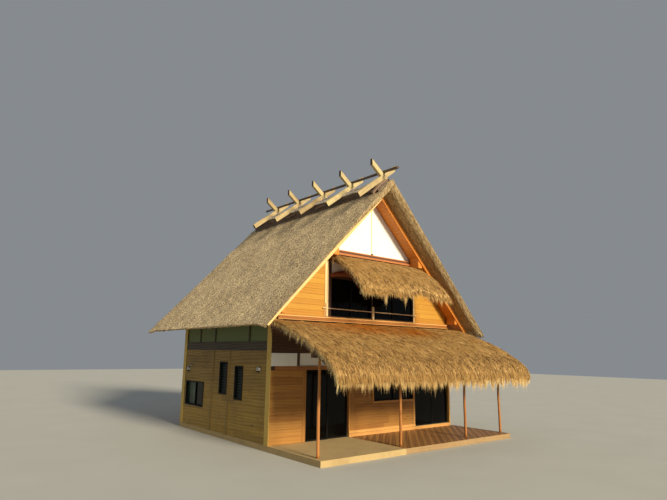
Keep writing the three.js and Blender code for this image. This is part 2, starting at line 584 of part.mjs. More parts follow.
// Sliding doors: two glazed panels a doorway, each on its own track and on two rollers
const buildDoorPair = (name, doorway) => {
  const width = (doorway.to - doorway.from - 2 * DOOR_CLEARANCE + DOOR_OVERLAP) / 2;
  const bottom = doorway.foot + DOOR_CLEARANCE;
  const height = DOOR_HEAD - DOOR_CLEARANCE - bottom;
  const panel = (x, track) => {
    const leaf = glazedPanel(width, height, DOOR_THICKNESS, 1, 2 * SASH, GLASS);
    leaf.translate(x, track, bottom);
    const mid = track + DOOR_THICKNESS / 2;
    const rollers = [0.15, 0.85].map((part) => {
      const centre = x + part * width;
      return box(centre - ROLLER_LENGTH / 2, centre + ROLLER_LENGTH / 2, mid - ROLLER_WIDTH / 2,
        mid + ROLLER_WIDTH / 2, doorway.foot + SEAT_GAP, bottom + 20);
    });
    return join(leaf, ...rollers);
  };
  addPiece(`${name}_left`, panel(doorway.from + DOOR_CLEARANCE, OUTER_TRACK), blackFrame());
  addPiece(`${name}_right`, panel(doorway.to - DOOR_CLEARANCE - width, INNER_TRACK), blackFrame());
};

// A bamboo rail tied to two stout uprights that stand on the sill board
const buildLoftRail = () => {
  const bar = roundBar(RAIL_RADIUS, new THREE.Vector3(RAIL_FROM, RAIL_Y, RAIL_HEIGHT),
    new THREE.Vector3(RAIL_TO, RAIL_Y, RAIL_HEIGHT));
  const uprights = UPRIGHT_X.map((x) => roundBar(UPRIGHT_RADIUS,
    new THREE.Vector3(x, RAIL_Y, LOFT_SILL_TOP + SEAT_GAP), new THREE.Vector3(x, RAIL_Y, UPRIGHT_TOP)));
  addPiece('loft_rail', join(bar, ...uprights), creamTimber());
};

buildGroundFloor();
buildVeranda();
buildLeanTo();
buildHood();
buildMainRoof();
buildRidge();
buildSideFrame('left', -1, POST_SIZE);
buildSideFrame('right', 1, SLIM_POST);
buildSideWall('left', -1, [SIDE_WINDOW, LOUVRE_1, LOUVRE_2]);
buildSideWall('right', 1, [RIGHT_WINDOW]);
buildFrontWall();
buildRearWall();
buildLoftFloor();
buildWindows();
buildDoorPair('entrance_door', ENTRANCE);
buildDoorPair('veranda_door', VERANDA_DOORWAY);
buildLoftRail();

const front = LEAN_TOP[LEAN_TOP.length - 1][0] - SEAT_GAP;
house.position.y = -(front + VERGE_REAR) / 2;
house.updateMatrixWorld(true);

export default house;
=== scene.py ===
"""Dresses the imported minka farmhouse: thatch, straw, boards, frames, deck and ridge over the fixed frame.

Lengths are metres, +X runs right along the gable front, +Y to the rear and +Z up.
A depth named "back" counts from the outer face of the front wall, and FRONT moves it into the frame.
"""
import logging
import math
from collections.abc import Callable
from dataclasses import dataclass, field
from enum import Enum

import bpy
import numpy as np
from mathutils import Matrix, Vector
from mathutils.geometry import tessellate_polygon


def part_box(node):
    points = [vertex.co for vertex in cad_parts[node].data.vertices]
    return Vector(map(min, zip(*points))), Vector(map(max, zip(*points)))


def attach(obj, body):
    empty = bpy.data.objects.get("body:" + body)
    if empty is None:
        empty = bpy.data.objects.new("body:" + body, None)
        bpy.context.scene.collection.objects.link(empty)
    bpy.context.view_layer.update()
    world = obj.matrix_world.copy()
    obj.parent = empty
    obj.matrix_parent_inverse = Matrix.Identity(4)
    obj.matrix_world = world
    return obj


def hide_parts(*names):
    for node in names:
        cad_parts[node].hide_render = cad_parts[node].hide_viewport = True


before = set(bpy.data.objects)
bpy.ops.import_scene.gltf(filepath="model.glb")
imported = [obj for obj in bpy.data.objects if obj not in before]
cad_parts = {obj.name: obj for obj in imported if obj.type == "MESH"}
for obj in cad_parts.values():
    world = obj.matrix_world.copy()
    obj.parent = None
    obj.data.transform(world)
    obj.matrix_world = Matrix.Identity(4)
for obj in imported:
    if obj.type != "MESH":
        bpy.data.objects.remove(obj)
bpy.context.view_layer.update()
LOG = logging.getLogger("farmhouse")

FRONT = -2.20985
DEPTH = 5.96
HALF_WIDTH = 3.825
CORNER_OUT = 0.012
DOOR_HEAD = 2.149
THATCH_SLOPE = 1.07
BOARD_SLOPE = 1.03
THATCH_LENGTH = math.hypot(1.0, THATCH_SLOPE)
BOARD_LENGTH = math.hypot(1.0, BOARD_SLOPE)
SOFFIT = 7.80
ROOF_CUT = SOFFIT - 0.006
BARGE_FOOT = 7.71
BARGE_BACK = -0.45
REAR_EDGE = 7.158
LONGEST_BOARD = 3.7
GRAIN_SHIFT = 9.0

Pair = tuple[float, float]
Line = tuple[Pair, ...]
Triple = tuple[float, float, float]
Rgb = Triple
Colour = tuple[float, float, float, float]
Box = tuple[float, float, float, float, float, float]
Array = np.ndarray
Tone = Array | float | None
Socket = bpy.types.NodeSocket
Outputs = bpy.types.NodeOutputs
Random = np.random.Generator
Inputs = dict[str | int, object]
Palette = dict[str, bpy.types.Material]


class Axis(Enum):
    """The direction that a board's grain follows."""

    X = 0
    Y = 1
    Z = 2


class Side(Enum):
    """A side of the house, with the sign of its outward direction."""

    LEFT = -1
    RIGHT = 1


def soffit_reach(z: Array, level: float) -> Array:
    """Gives half widths at heights under the roof boards: level less height, over the roof's rise per metre."""
    return (level - z) / BOARD_SLOPE


def unit(vectors: Array) -> Array:
    """Gives vectors over their lengths."""
    return vectors / np.maximum(np.linalg.norm(vectors, axis=-1, keepdims=True), 1e-9)


def ripple(points: Array, wavelength: float, seed: int) -> Array:
    """Works out a smooth random field of about unit size.

    Args:
        points: (n, 3) places.
        wavelength: typical length of one wave.
        seed: picks the waves.

    Returns:
        (n,) values: the sum of 20 plane waves of random direction and phase, over the root of 10.
    """
    rng = np.random.default_rng(seed)
    directions = unit(rng.normal(size=(20, 3)))
    waves = directions * (2 * math.pi / wavelength) * rng.uniform(0.6, 1.5, (20, 1))
    return np.sin(points @ waves.T + rng.uniform(0, 2 * math.pi, 20)).sum(1) / math.sqrt(10)


def resample(line: Array, count: int, soften: int = 0) -> Array:
    """Spaces points evenly along a broken line.

    Args:
        line: (k, d) corners.
        count: how many points to give.
        soften: rounds of averaging that round the corners off.

    Returns:
        (count, d) points at equal arc lengths, then averaged with their neighbours.
    """
    steps = np.linalg.norm(np.diff(line, axis=0), axis=1)
    reach = np.concatenate([[0.0], np.cumsum(steps)])
    where = np.linspace(0.0, reach[-1], count)
    points = np.stack([np.interp(where, reach, line[:, k]) for k in range(line.shape[1])], 1)
    for _ in range(soften):
        points[1:-1] = (points[:-2] + 2 * points[1:-1] + points[2:]) / 4
    return points


def tube_quads(rows: int, columns: int) -> Array:
    """Lists the faces between rings of vertices that are numbered ring by ring."""
    r, c = np.arange(rows - 1)[:, None], np.arange(columns)[None, :]
    d = (c + 1) % columns
    corners = [r * columns + c, r * columns + d, (r + 1) * columns + d, (r + 1) * columns + c]
    return np.stack([k.ravel() for k in corners], 1)


def cap_triangles(ring: Array) -> Array:
    """Fills a flat (k, 3) ring, also a hollow one, with (k - 2, 3) triangles that turn as it does."""
    triangles = np.array(tessellate_polygon([[Vector(p) for p in ring]]))
    turn = np.cross(ring, np.roll(ring, -1, 0)).sum(0)
    a, b, c = (ring[triangles[:, k]] for k in range(3))
    wrong = (np.cross(b - a, c - a) @ turn) < 0
    triangles[wrong] = triangles[wrong][:, ::-1]
    return triangles


def box_template(chamfer: bool) -> tuple[Array, Array, list[list[int]]]:
    """Describes a unit box whose edges may be cut off.

    Args:
        chamfer: whether the edges are cut.

    Returns:
        Corner signs (n, 3), how much of the chamfer is taken off along each axis (n, 3), and faces facing out.
    """
    ends = (-1, 1)
    corners = [(x, y, z) for x in ends for y in ends for z in ends]
    vertices = [(corner, axis) for corner in corners for axis in (range(3) if chamfer else [0])]
    signs = np.array([corner for corner, _ in vertices], float)
    cuts = np.array([[float(chamfer and k != axis) for k in range(3)] for _, axis in vertices])
    places = signs * (1 - 0.2 * cuts)

    def face(chosen: Callable[[tuple, int], bool]) -> list[int]:
        """Orders the chosen corners around their middle so that the face looks out."""
        members = [i for i, (corner, axis) in enumerate(vertices) if chosen(corner, axis)]
        middle = places[members].mean(0)
        out = middle / np.linalg.norm(middle)
        side = np.cross(out, [0.3, 0.5, 0.8])
        up = np.cross(out, side)
        angles = [math.atan2((places[m] - middle) @ up, (places[m] - middle) @ side) for m in members]
        return [m for _, m in sorted(zip(angles, members))]

    faces = [face(lambda c, o: c[axis] == sign and (not chamfer or o == axis)) for axis in range(3) for sign in ends]
    if chamfer:
        faces += [face(lambda c, o: (c[a], c[b]) == (sa, sb) and o in (a, b))
                  for a, b in ((0, 1), (1, 2), (0, 2)) for sa in ends for sb in ends]
        faces += [face(lambda c, o: c == corner) for corner in corners]
    return signs, cuts, faces


PLAIN_BOX = box_template(False)
CUT_BOX = box_template(True)


def link(name: str, data: bpy.types.ID) -> bpy.types.Object:
    """Puts an object with its data into the scene."""
    thing = bpy.data.objects.new(name, data)
    bpy.context.scene.collection.objects.link(thing)
    return thing


@dataclass
class Shape:
    """Parts gathered into one mesh, with grain coordinates and a tone for each vertex."""

    seed: int = 1
    points: list[Array] = field(default_factory=list)
    faces: list[Array] = field(default_factory=list)
    grain: list[Array] = field(default_factory=list)
    tone: list[Array] = field(default_factory=list)
    count: int = 0

    def __post_init__(self) -> None:
        """Starts the shape's own random numbers."""
        self.rng = np.random.default_rng(self.seed)

    def shift(self, *size: int) -> Array:
        """Draws random offsets that give parts different grain."""
        return self.rng.uniform(-GRAIN_SHIFT, GRAIN_SHIFT, size)

    def add(self, points: Array, faces: list[Array], grain: Array, tone: Tone = None) -> None:
        """Adds vertices with their faces.

        Args:
            points: (n, 3) vertices.
            faces: arrays of vertex numbers, one array for each number of corners.
            grain: (n, 3) coordinates whose first runs along the grain.
            tone: shade from 0 to 1, random where none is given.
        """
        self.points.append(points)
        self.faces += [np.asarray(f, int) + self.count for f in faces if len(f)]
        self.grain.append(grain)
        tone = self.rng.uniform() if tone is None else tone
        self.tone.append(np.broadcast_to(np.asarray(tone, float), len(points)).copy())
        self.count += len(points)

    def boxes(self, bounds: list[Box], chamfer: float = 0.003, axis: Axis | None = None, tone: Tone = None,
              trim: float | None = None) -> None:
        """Adds boards: boxes with cut edges whose grain follows the longest side.

        Args:
            bounds: x0, x1, y0, y1, z0, z1 of each.
            chamfer: width taken off the edges, none at 0.
            axis: the grain's direction, else the longest side's.
            tone: (n,) shades.
            trim: cuts the ends off along the roof boards' underside with this level at the ridge.
        """
        bounds = np.atleast_2d(np.array(bounds, float))
        signs, cuts, faces = CUT_BOX if chamfer else PLAIN_BOX
        low, high = bounds[:, 0::2], bounds[:, 1::2]
        middle, half = (low + high) / 2, (high - low) / 2
        cut = np.minimum(chamfer, half.min(1) * 0.6)
        points = middle[:, None] + signs * (half[:, None] - cuts * cut[:, None, None])
        along = half.argmax(1) if axis is None else np.full(len(bounds), axis.value)
        order = np.stack([along, (along + 1) % 3, (along + 2) % 3], 1)
        grain = np.take_along_axis(points, np.broadcast_to(order[:, None], points.shape), 2)
        grain = grain + self.shift(len(bounds), 1, 3)
        if trim is not None:
            reach = soffit_reach(points[..., 2], trim)
            points[..., 0] = np.clip(points[..., 0], -reach, reach)
        tone = self.rng.uniform(size=len(bounds)) if tone is None else np.broadcast_to(tone, len(bounds))
        starts = (np.arange(len(bounds)) * len(signs))[:, None, None]
        kinds = [[f for f in faces if len(f) == k] for k in (3, 4)]
        groups = [(np.array(kind)[None] + starts).reshape(-1, len(kind[0])) for kind in kinds if kind]
        self.add(points.reshape(-1, 3), groups, grain.reshape(-1, 3), np.repeat(tone, len(signs)))

    def loft(self, sections: Array, tone: Tone = None) -> None:
        """Adds a closed skin over (m, k, 3) rings of vertices in order, with both ends filled."""
        m, k = sections.shape[:2]
        middles = sections.mean(1)
        along = np.concatenate([[0.0], np.cumsum(np.linalg.norm(np.diff(middles, axis=0), axis=1))])
        across = sections - middles[:, None]
        reach = np.linalg.norm(across, axis=2)
        turn = np.linspace(0, 1, k, endpoint=False)[None] * reach.mean() * 6.28
        grain = np.stack([np.broadcast_to(along[:, None], (m, k)), np.broadcast_to(turn, (m, k)), reach], 2)
        quads = tube_quads(m, k)
        first, last = cap_triangles(sections[0]), cap_triangles(sections[-1]) + (m - 1) * k
        if np.cross(across[0], np.roll(across[0], -1, 0)).sum(0) @ (middles[1] - middles[0]) > 0:
            first = first[:, ::-1]
        else:
            quads, last = quads[:, ::-1], last[:, ::-1]
        offset = self.shift(3)
        self.add(sections.reshape(-1, 3), [quads, np.concatenate([first, last])], grain.reshape(-1, 3) + offset, tone)

    def tube(self, path: Array, radius: Array, sides: int) -> None:
        """Adds a round bar: a circle square to the path at each of its points.

        Args:
            path: (m, 3) middle line.
            radius: (m,) radii.
            sides: corners of the circle.
        """
        tangent = unit(np.gradient(path, axis=0))
        guide = np.array([0.0, 0.0, 1.0]) if abs(tangent[0][2]) < 0.8 else np.array([0.0, 1.0, 0.0])
        side = unit(np.cross(tangent, guide))
        up = np.cross(side, tangent)
        angle = np.linspace(0, 2 * math.pi, sides, endpoint=False)
        ring = np.cos(angle)[None, :, None] * side[:, None] + np.sin(angle)[None, :, None] * up[:, None]
        self.loft(path[:, None] + ring * radius[:, None, None])

    def bar(self, profile: Array, axis: Axis, low: float, high: float, tone: Tone = None) -> None:
        """Adds a prism: a flat outline carried along an axis, with the grain along that axis.

        Args:
            profile: (k, 2) outline in the other two axes, in the order of their letters.
            axis: direction of the prism.
            low: where it starts.
            high: where it ends.
            tone: shade.
        """
        rings = np.zeros((2, len(profile), 3))
        rings[:, :, [k for k in range(3) if k != axis.value]] = profile
        rings[0, :, axis.value], rings[1, :, axis.value] = low, high
        self.loft(rings, tone)

    def object(self, name: str, material: bpy.types.Material, slot: str, body: str = "house",
               smooth: bool = False, replaces: tuple[str, ...] = ()) -> None:
        """Makes the Blender mesh and hangs it on its body.

        Args:
            name: the piece's name.
            material: its finish.
            slot: the record's material slot, not used.
            body: the body it moves with.
            smooth: whether its faces are shaded round.
            replaces: nodes it stands for.
        """
        mesh = bpy.data.meshes.new(name)
        points = np.concatenate(self.points).astype(np.float32)
        mesh.vertices.add(len(points))
        mesh.vertices.foreach_set("co", points.ravel())
        loops = np.concatenate([f.ravel() for f in self.faces]).astype(np.int32)
        sizes = np.concatenate([np.full(len(f), f.shape[1]) for f in self.faces])
        mesh.loops.add(len(loops))
        mesh.loops.foreach_set("vertex_index", loops)
        mesh.polygons.add(len(sizes))
        mesh.polygons.foreach_set("loop_start", np.concatenate([[0], np.cumsum(sizes)[:-1]]).astype(np.int32))
        mesh.polygons.foreach_set("use_smooth", np.full(len(sizes), smooth))
        for key, kind, value in (("grain", "FLOAT_VECTOR", "vector"), ("tone", "FLOAT", "value")):
            rows = np.concatenate(getattr(self, key)).astype(np.float32)
            mesh.attributes.new(key, kind, "POINT").data.foreach_set(value, rows.ravel())
        mesh.update(calc_edges=True)
        mesh.materials.append(material)
        thing = link(name, mesh)
        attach(thing, body)
        if replaces:
            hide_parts(*replaces)
        LOG.info("%s: %d vertices, %d triangles", name, len(points), int((sizes - 2).sum()))


def planks(name: str, seed: int, bounds: list[Box], material: bpy.types.Material, slot: str, chamfer: float = 0.003,
           axis: Axis | None = None, trim: float | None = None) -> None:
    """Makes a piece of nothing but boards; the arguments are those of Shape, Shape.boxes and Shape.object."""
    shape = Shape(seed)
    shape.boxes(bounds, chamfer, axis, None, trim)
    shape.object(name, material, slot)


def on_front(rows: tuple[Box, ...]) -> list[Box]:
    """Turns rows of start, end, depths out of and into the front wall, foot and head into boxes."""
    return [(x0, x1, FRONT - out, FRONT + deep, z0, z1) for x0, x1, out, deep, z0, z1 in rows]


def rgb(colour: Rgb) -> Colour:
    """Turns a colour as seen on a screen into the linear one that shaders take."""
    return tuple(c / 12.92 if c <= 0.04045 else ((c + 0.055) / 1.055) ** 2.4 for c in colour) + (1.0,)


class Nodes:
    """A short hand for filling one node tree."""

    def __init__(self, tree: bpy.types.NodeTree) -> None:
        """Keeps the tree that is filled."""
        self.tree = tree

    def feed(self, node: bpy.types.Node, inputs: Inputs) -> None:
        """Sets a node's inputs, by name or number, each to a value or by a link from a socket."""
        for key, value in inputs.items():
            if isinstance(value, Socket):
                self.tree.links.new(value, node.inputs[key])
            else:
                node.inputs[key].default_value = value

    def add(self, kind: str, inputs: Inputs | None = None, **settings: object) -> Outputs:
        """Adds a node.

        Args:
            kind: the node's type, without its ShaderNode prefix.
            inputs: sockets by name or number, each a value or a socket to link from.
            settings: the node's own properties.

        Returns:
            The node's outputs.
        """
        node = self.tree.nodes.new("ShaderNode" + kind)
        for name, value in settings.items():
            setattr(node, name, value)
        self.feed(node, inputs or {})
        return node.outputs

    def math(self, operation: str, *values: object, clamp: bool = False) -> Socket:
        """Gives a function of up to three values, held between 0 and 1 where clamp is set."""
        return self.add("Math", dict(enumerate(values)), operation=operation, use_clamp=clamp)[0]

    def times(self, first: object, *others: object) -> Socket:
        """Gives a product."""
        for other in others:
            first = self.math("MULTIPLY", first, other)
        return first

    def total(self, first: object, *others: object, clamp: bool = False) -> Socket:
        """Gives a sum, held between 0 and 1 where clamp is set."""
        for number, other in enumerate(others, 1):
            first = self.math("ADD", first, other, clamp=clamp and number == len(others))
        return first

    def swing(self, value: object, weight: object) -> Socket:
        """Gives how far a value stands above one half, times a weight."""
        return self.times(self.math("SUBTRACT", value, 0.5), weight)

    def mix(self, factor: object, a: object, b: object, blend: str = "MIX") -> Socket:
        """Gives a mix of two colours."""
        return self.add("Mix", {0: factor, 6: a, 7: b}, data_type="RGBA", blend_type=blend)[2]

    def noise(self, vector: object, scale: object = 1.0, detail: float = 2.0, rough: float = 0.5) -> Socket:
        """Gives cloud noise from 0 to 1."""
        return self.add("TexNoise", {"Vector": vector, "Scale": scale, "Detail": detail, "Roughness": rough})["Fac"]

    def stretch(self, vector: object, *scale: float) -> Socket:
        """Gives coordinates scaled along each axis."""
        return self.add("VectorMath", {0: vector, 1: scale}, operation="MULTIPLY")[0]

    def ramp(self, value: object, low: float, high: float) -> Socket:
        """Gives 0 at low, 1 at high and a smooth rise between."""
        return self.add("MapRange", {0: value, 1: low, 2: high}, interpolation_type="SMOOTHSTEP")[0]

    def bump(self, height: object, strength: float, distance: float) -> Socket:
        """Gives a normal that follows a height."""
        return self.add("Bump", {"Strength": strength, "Distance": distance, "Height": height})[0]

    def place(self) -> Socket:
        """Gives the object coordinates."""
        return self.add("TexCoord")["Object"]

    def grain(self) -> Socket:
        """Gives the piece's own grain coordinates."""
        return self.add("Attribute", attribute_name="grain")["Vector"]

    def tone(self) -> Socket:
        """Gives the piece's own tone."""
        return self.add("Attribute", attribute_name="tone")["Fac"]


def group(name: str, inputs: dict[str, str], outputs: dict[str, str]) -> tuple[Nodes, Outputs, bpy.types.Node]:
    """Opens a new shader node group.

    Args:
        name: the group's name.
        inputs: socket names with their kinds.
        outputs: the same.

    Returns:
        A hand on the group's nodes, its given inputs, and the node that takes its outputs.
    """
    tree = bpy.data.node_groups.new(name, "ShaderNodeTree")
    for side, sockets in (("INPUT", inputs), ("OUTPUT", outputs)):
        for key, kind in sockets.items():
            tree.interface.new_socket(name=key, in_out=side, socket_type="NodeSocket" + kind)
    return Nodes(tree), tree.nodes.new("NodeGroupInput").outputs, tree.nodes.new("NodeGroupOutput")


class Effects:
    """The node groups that several finishes share: timber grain, reed speckle and dirt."""

    def __init__(self) -> None:
        """Builds each group once."""
        self.grain, self.reed, self.dirt = self.make_grain(), self.make_reed(), self.make_dirt()

    @staticmethod
    def make_grain() -> bpy.types.NodeTree:
        """Builds timber grain: bands and fibres drawn out along the board, knots and a shade for each board."""
        n, given, out = group(
            "timber_grain",
            {"Vector": "Vector", "Light": "Color", "Dark": "Color", "Tone": "Float", "Spread": "Float",
             "Bands": "Float", "Knots": "Float"},
            {"Color": "Color", "Roughness": "Float", "Height": "Float"})
        at = given["Vector"]
        sway = n.noise(n.stretch(at, 0.8, 3.0, 3.0))
        bend = n.add("CombineXYZ", {1: n.times(sway, 0.06), 2: n.times(sway, 0.04)})[0]
        bent = n.add("VectorMath", {0: n.stretch(at, 0.03, 1.0, 1.0), 1: bend}, operation="ADD")[0]
        waves = {"Vector": bent, "Scale": given["Bands"], "Distortion": 1.6, "Detail": 2.0, "Detail Scale": 0.8}
        bands = n.add("TexWave", waves, wave_type="BANDS", bands_direction="DIAGONAL")["Fac"]
        fibre = n.noise(n.stretch(at, 3.0, 160.0, 160.0))
        cells = n.add("TexVoronoi", {"Vector": n.stretch(at, 1.3, 4.0, 4.0), "Scale": 1.0}, feature="F1")["Distance"]
        knot = n.times(n.math("SUBTRACT", 1.0, n.ramp(cells, 0.05, 0.13)), given["Knots"], 0.8)
        cloud = n.noise(n.stretch(at, 0.7, 2.0, 2.0), 1.0, 3.0)
        dark = n.total(n.times(bands, 0.20), n.times(fibre, 0.20), n.times(cloud, 0.45),
                       n.swing(given["Tone"], given["Spread"]), knot, clamp=True)
        n.feed(out, {"Color": n.mix(dark, given["Light"], given["Dark"]),
                     "Roughness": n.add("MapRange", {0: bands, 3: 0.5, 4: 0.72})[0],
                     "Height": n.total(n.times(bands, 0.5), n.times(fibre, 0.5))})
        return n.tree

    @staticmethod
    def make_reed() -> bpy.types.NodeTree:
        """Builds the speckle of cut reed ends: flecks in soft patches, drawn out along the slope."""
        n, given, out = group("reed_speckle", {"Vector": "Vector", "Light": "Color", "Dark": "Color"},
                              {"Color": "Color", "Height": "Float"})
        at = given["Vector"]
        drawn = n.stretch(at, 0.8, 1.0, 1.0)
        fleck = n.noise(drawn, 30.0, 2.0, 0.6)
        small = n.noise(n.stretch(drawn, 2.7, 2.7, 2.7), 30.0, 1.0, 0.6)
        streak = n.noise(n.stretch(at, 1.1, 14.0, 14.0), 1.0, 3.0, 0.6)
        patch = n.noise(at, 0.8, 3.0, 0.55)
        value = n.total(n.times(n.ramp(fleck, 0.39, 0.61), 0.65), n.times(n.ramp(small, 0.38, 0.62), 0.35),
                        n.swing(streak, 0.26), n.swing(patch, 0.4), clamp=True)
        n.feed(out, {"Color": n.mix(value, given["Dark"], given["Light"]),
                     "Height": n.total(fleck, n.times(small, 0.5))})
        return n.tree

    @staticmethod
    def make_dirt() -> bpy.types.NodeTree:
        """Builds weathering: soft patches and vertical runs that pull a colour towards another."""
        n, given, out = group("weathering", {"Vector": "Vector", "Color": "Color", "Dirt": "Color", "Amount": "Float"},
                              {"Color": "Color"})
        at = given["Vector"]
        patch = n.ramp(n.noise(at, 1.5, 5.0, 0.65), 0.42, 0.75)
        runs = n.ramp(n.noise(n.stretch(at, 4.0, 4.0, 0.5), 1.5, 4.0, 0.6), 0.5, 0.8)
        mask = n.times(n.math("MAXIMUM", patch, runs), given["Amount"])
        n.feed(out, {"Color": n.mix(mask, given["Color"], given["Dirt"])})
        return n.tree


class Paint(Nodes):
    """A short hand for filling a material's node tree with the shared effects."""

    def __init__(self, tree: bpy.types.NodeTree, effects: Effects) -> None:
        """Keeps the tree and the effects."""
        super().__init__(tree)
        self.effects = effects

    def weather(self, colour: object, dirt: Rgb, amount: float) -> Socket:
        """Gives a colour with the weathering group over it."""
        inputs = {"Vector": self.place(), "Color": colour, "Dirt": rgb(dirt), "Amount": amount}
        return self.add("Group", inputs, node_tree=self.effects.dirt)["Color"]


@dataclass(frozen=True)
class Finish:
    """A material, of which each kind works out the shader's inputs in its own way."""

    name: str

    def inputs(self, n: Paint) -> Inputs:
        """Gives values and sockets by the names of the shader's inputs, here none."""
        return {}

    def build(self, effects: Effects) -> bpy.types.Material:
        """Makes the material with the shared effects."""
        material = bpy.data.materials.new(self.name)
        material.use_nodes = True
        n = Paint(material.node_tree, effects)
        n.feed(material.node_tree.nodes["Principled BSDF"], self.inputs(n))
        return material


@dataclass(frozen=True)
class Timber(Finish):
    """Sawn or round wood with grain, knots and weathering."""

    light: Rgb
    dark: Rgb
    spread: float = 0.5
    bands: float = 9.0
    knots: float = 0.5
    weather: float = 0.25
    axis: Axis | None = None
    bump: float = 0.25
    soil: Rgb = (0.30, 0.22, 0.14)

    def inputs(self, n: Paint) -> Inputs:
        """Lets the grain follow the piece's own coordinates or one axis of the house.

        Args:
            n: a hand on the material's nodes.

        Returns:
            Sockets by the names of the shader's inputs.
        """
        if self.axis is None:
            at, tone = n.grain(), n.tone()
        else:
            parts = n.add("SeparateXYZ", {0: n.place()})
            at = n.add("CombineXYZ", {k: parts[(self.axis.value + k) % 3] for k in range(3)})[0]
            tone = n.noise(n.place(), 0.4, 1.0)
        grain = n.add("Group", {"Vector": at, "Tone": tone, "Light": rgb(self.light), "Dark": rgb(self.dark),
                                "Spread": self.spread, "Bands": self.bands, "Knots": self.knots},
                      node_tree=n.effects.grain)
        return {"Base Color": n.weather(grain["Color"], self.soil, self.weather),
                "Roughness": grain["Roughness"], "Normal": n.bump(grain["Height"], self.bump, 0.004)}


@dataclass(frozen=True)
class Reed(Finish):
    """Sheared reed thatch, speckled, with darker cut faces at the verges and eaves."""

    light: Rgb
    dark: Rgb
    edge: Rgb

    def inputs(self, n: Paint) -> Inputs:
        """Darkens the speckle by the tone, which is 1 on cut faces and 0 on the slope.

        Args:
            n: a hand on the material's nodes.

        Returns:
            Values and sockets by the names of the shader's inputs.
        """
        reed = n.add("Group", {"Vector": n.grain(), "Light": rgb(self.light), "Dark": rgb(self.dark)},
                     node_tree=n.effects.reed)
        cut = n.mix(0.68, reed["Color"], rgb(self.edge))
        return {"Base Color": n.mix(n.tone(), reed["Color"], cut), "Roughness": 0.9, "Specular IOR Level": 0.2,
                "Normal": n.bump(reed["Height"], 0.9, 0.02)}


@dataclass(frozen=True)
class Straw(Finish):
    """Loose straw: a shade for each stalk, darker at its root as painted shade under the stalks above, with rusty
    patches near the wall.
    """

    pale: Rgb
    middle: Rgb
    brown: Rgb
    rust: Rgb

    def inputs(self, n: Paint) -> Inputs:
        """Shades each stalk by its tone and by the place along it, which the grain's first coordinate holds.

        Args:
            n: a hand on the material's nodes.

        Returns:
            Values and sockets by the names of the shader's inputs.
        """
        place = n.place()
        along = n.add("SeparateXYZ", {0: n.grain()})[0]
        fleck = n.noise(n.stretch(place, 70.0, 12.0, 12.0))
        # The swing by along darkens each stalk towards its root, as painted shade where it lies under the others.
        value = n.total(n.times(n.tone(), 0.75), n.swing(fleck, 0.5), n.swing(along, 0.45))
        low = n.mix(n.ramp(value, 0.0, 0.5), rgb(self.brown), rgb(self.middle))
        colour = n.mix(n.ramp(value, 0.45, 1.0), low, rgb(self.pale))
        x, y, z = n.add("SeparateXYZ", {0: place})
        near = n.times(n.ramp(y, FRONT - 1.75, FRONT - 0.85), n.ramp(z, 3.85, 3.7),
                       n.ramp(x, -3.4, -1.2), n.ramp(x, 2.8, 0.8))
        patch = n.ramp(n.noise(n.stretch(place, 0.6, 1.0, 1.0), 1.3, 4.0, 0.6), 0.40, 0.60)
        rusty = n.mix(0.95, rgb(self.rust), colour, "MULTIPLY")
        colour = n.mix(n.times(near, n.math("MULTIPLY_ADD", patch, 0.35, 0.5)), colour, rusty)
        return {"Base Color": colour, "Roughness": 0.62, "Specular IOR Level": 0.35,
                "Normal": n.bump(fleck, 0.5, 0.006)}


@dataclass(frozen=True)
class Mineral(Finish):
    """Plaster or concrete: fine grit, soft patches and stains."""

    base: Rgb
    stain: Rgb
    weather: float = 0.2
    grit: float = 90.0
    roughness: float = 0.9

    def inputs(self, n: Paint) -> Inputs:
        """Stains the base colour by the grit and the weathering.

        Args:
            n: a hand on the material's nodes.

        Returns:
            Values and sockets by the names of the shader's inputs.
        """
        grit = n.noise(n.place(), self.grit, 3.0, 0.6)
        shade = n.mix(n.times(n.ramp(grit, 0.35, 0.75), 0.22), rgb(self.base), rgb(self.stain))
        return {"Base Color": n.weather(shade, self.stain, self.weather), "Roughness": self.roughness,
                "Normal": n.bump(grit, 0.15, 0.003)}


@dataclass(frozen=True)
class Metal(Finish):
    """Painted or bare metal with a faint brushed mottle and dust."""

    base: Rgb
    dust: Rgb
    metallic: float = 0.0
    roughness: float = 0.4

    def inputs(self, n: Paint) -> Inputs:
        """Mottles the base colour and the gloss.

        Args:
            n: a hand on the material's nodes.

        Returns:
            Values and sockets by the names of the shader's inputs.
        """
        place, base = n.place(), rgb(self.base)
        mottle = n.mix(n.noise(place, 35.0, 3.0), base, n.mix(0.5, base, rgb(self.dust)))
        rough = n.add("MapRange", {0: n.noise(place, 12.0, 3.0), 3: self.roughness - 0.1, 4: self.roughness + 0.15})
        return {"Base Color": n.weather(mottle, self.dust, 0.3), "Roughness": rough[0],
                "Metallic": self.metallic, "Specular IOR Level": 0.15}


@dataclass(frozen=True)
class DarkGlass(Finish):
    """Window glass in front of an unlit room: nearly black, smooth, with soft tinted shapes behind."""

    deep: Rgb
    tint: Rgb

    def inputs(self, n: Paint) -> Inputs:
        """Mixes the two colours in soft shapes.

        Args:
            n: a hand on the material's nodes.

        Returns:
            Values and sockets by the names of the shader's inputs.
        """
        place = n.place()
        shapes = n.ramp(n.noise(n.stretch(place, 1.0, 1.0, 0.6), 1.6, 3.0), 0.45, 0.75)
        return {"Base Color": n.mix(shapes, rgb(self.deep), rgb(self.tint)), "Roughness": 0.07,
                "Specular IOR Level": 0.10, "Normal": n.bump(n.noise(place, 2.2, 1.0), 0.05, 0.02)}


@dataclass(frozen=True)
class Paper(Finish):
    """The floor's pale paper, faintly clouded."""

    dark: Rgb
    light: Rgb

    def inputs(self, n: Paint) -> Inputs:
        """Mixes the two colours in clouds."""
        return {"Base Color": n.mix(n.noise(n.place(), 0.6), rgb(self.dark), rgb(self.light)), "Roughness": 0.9}


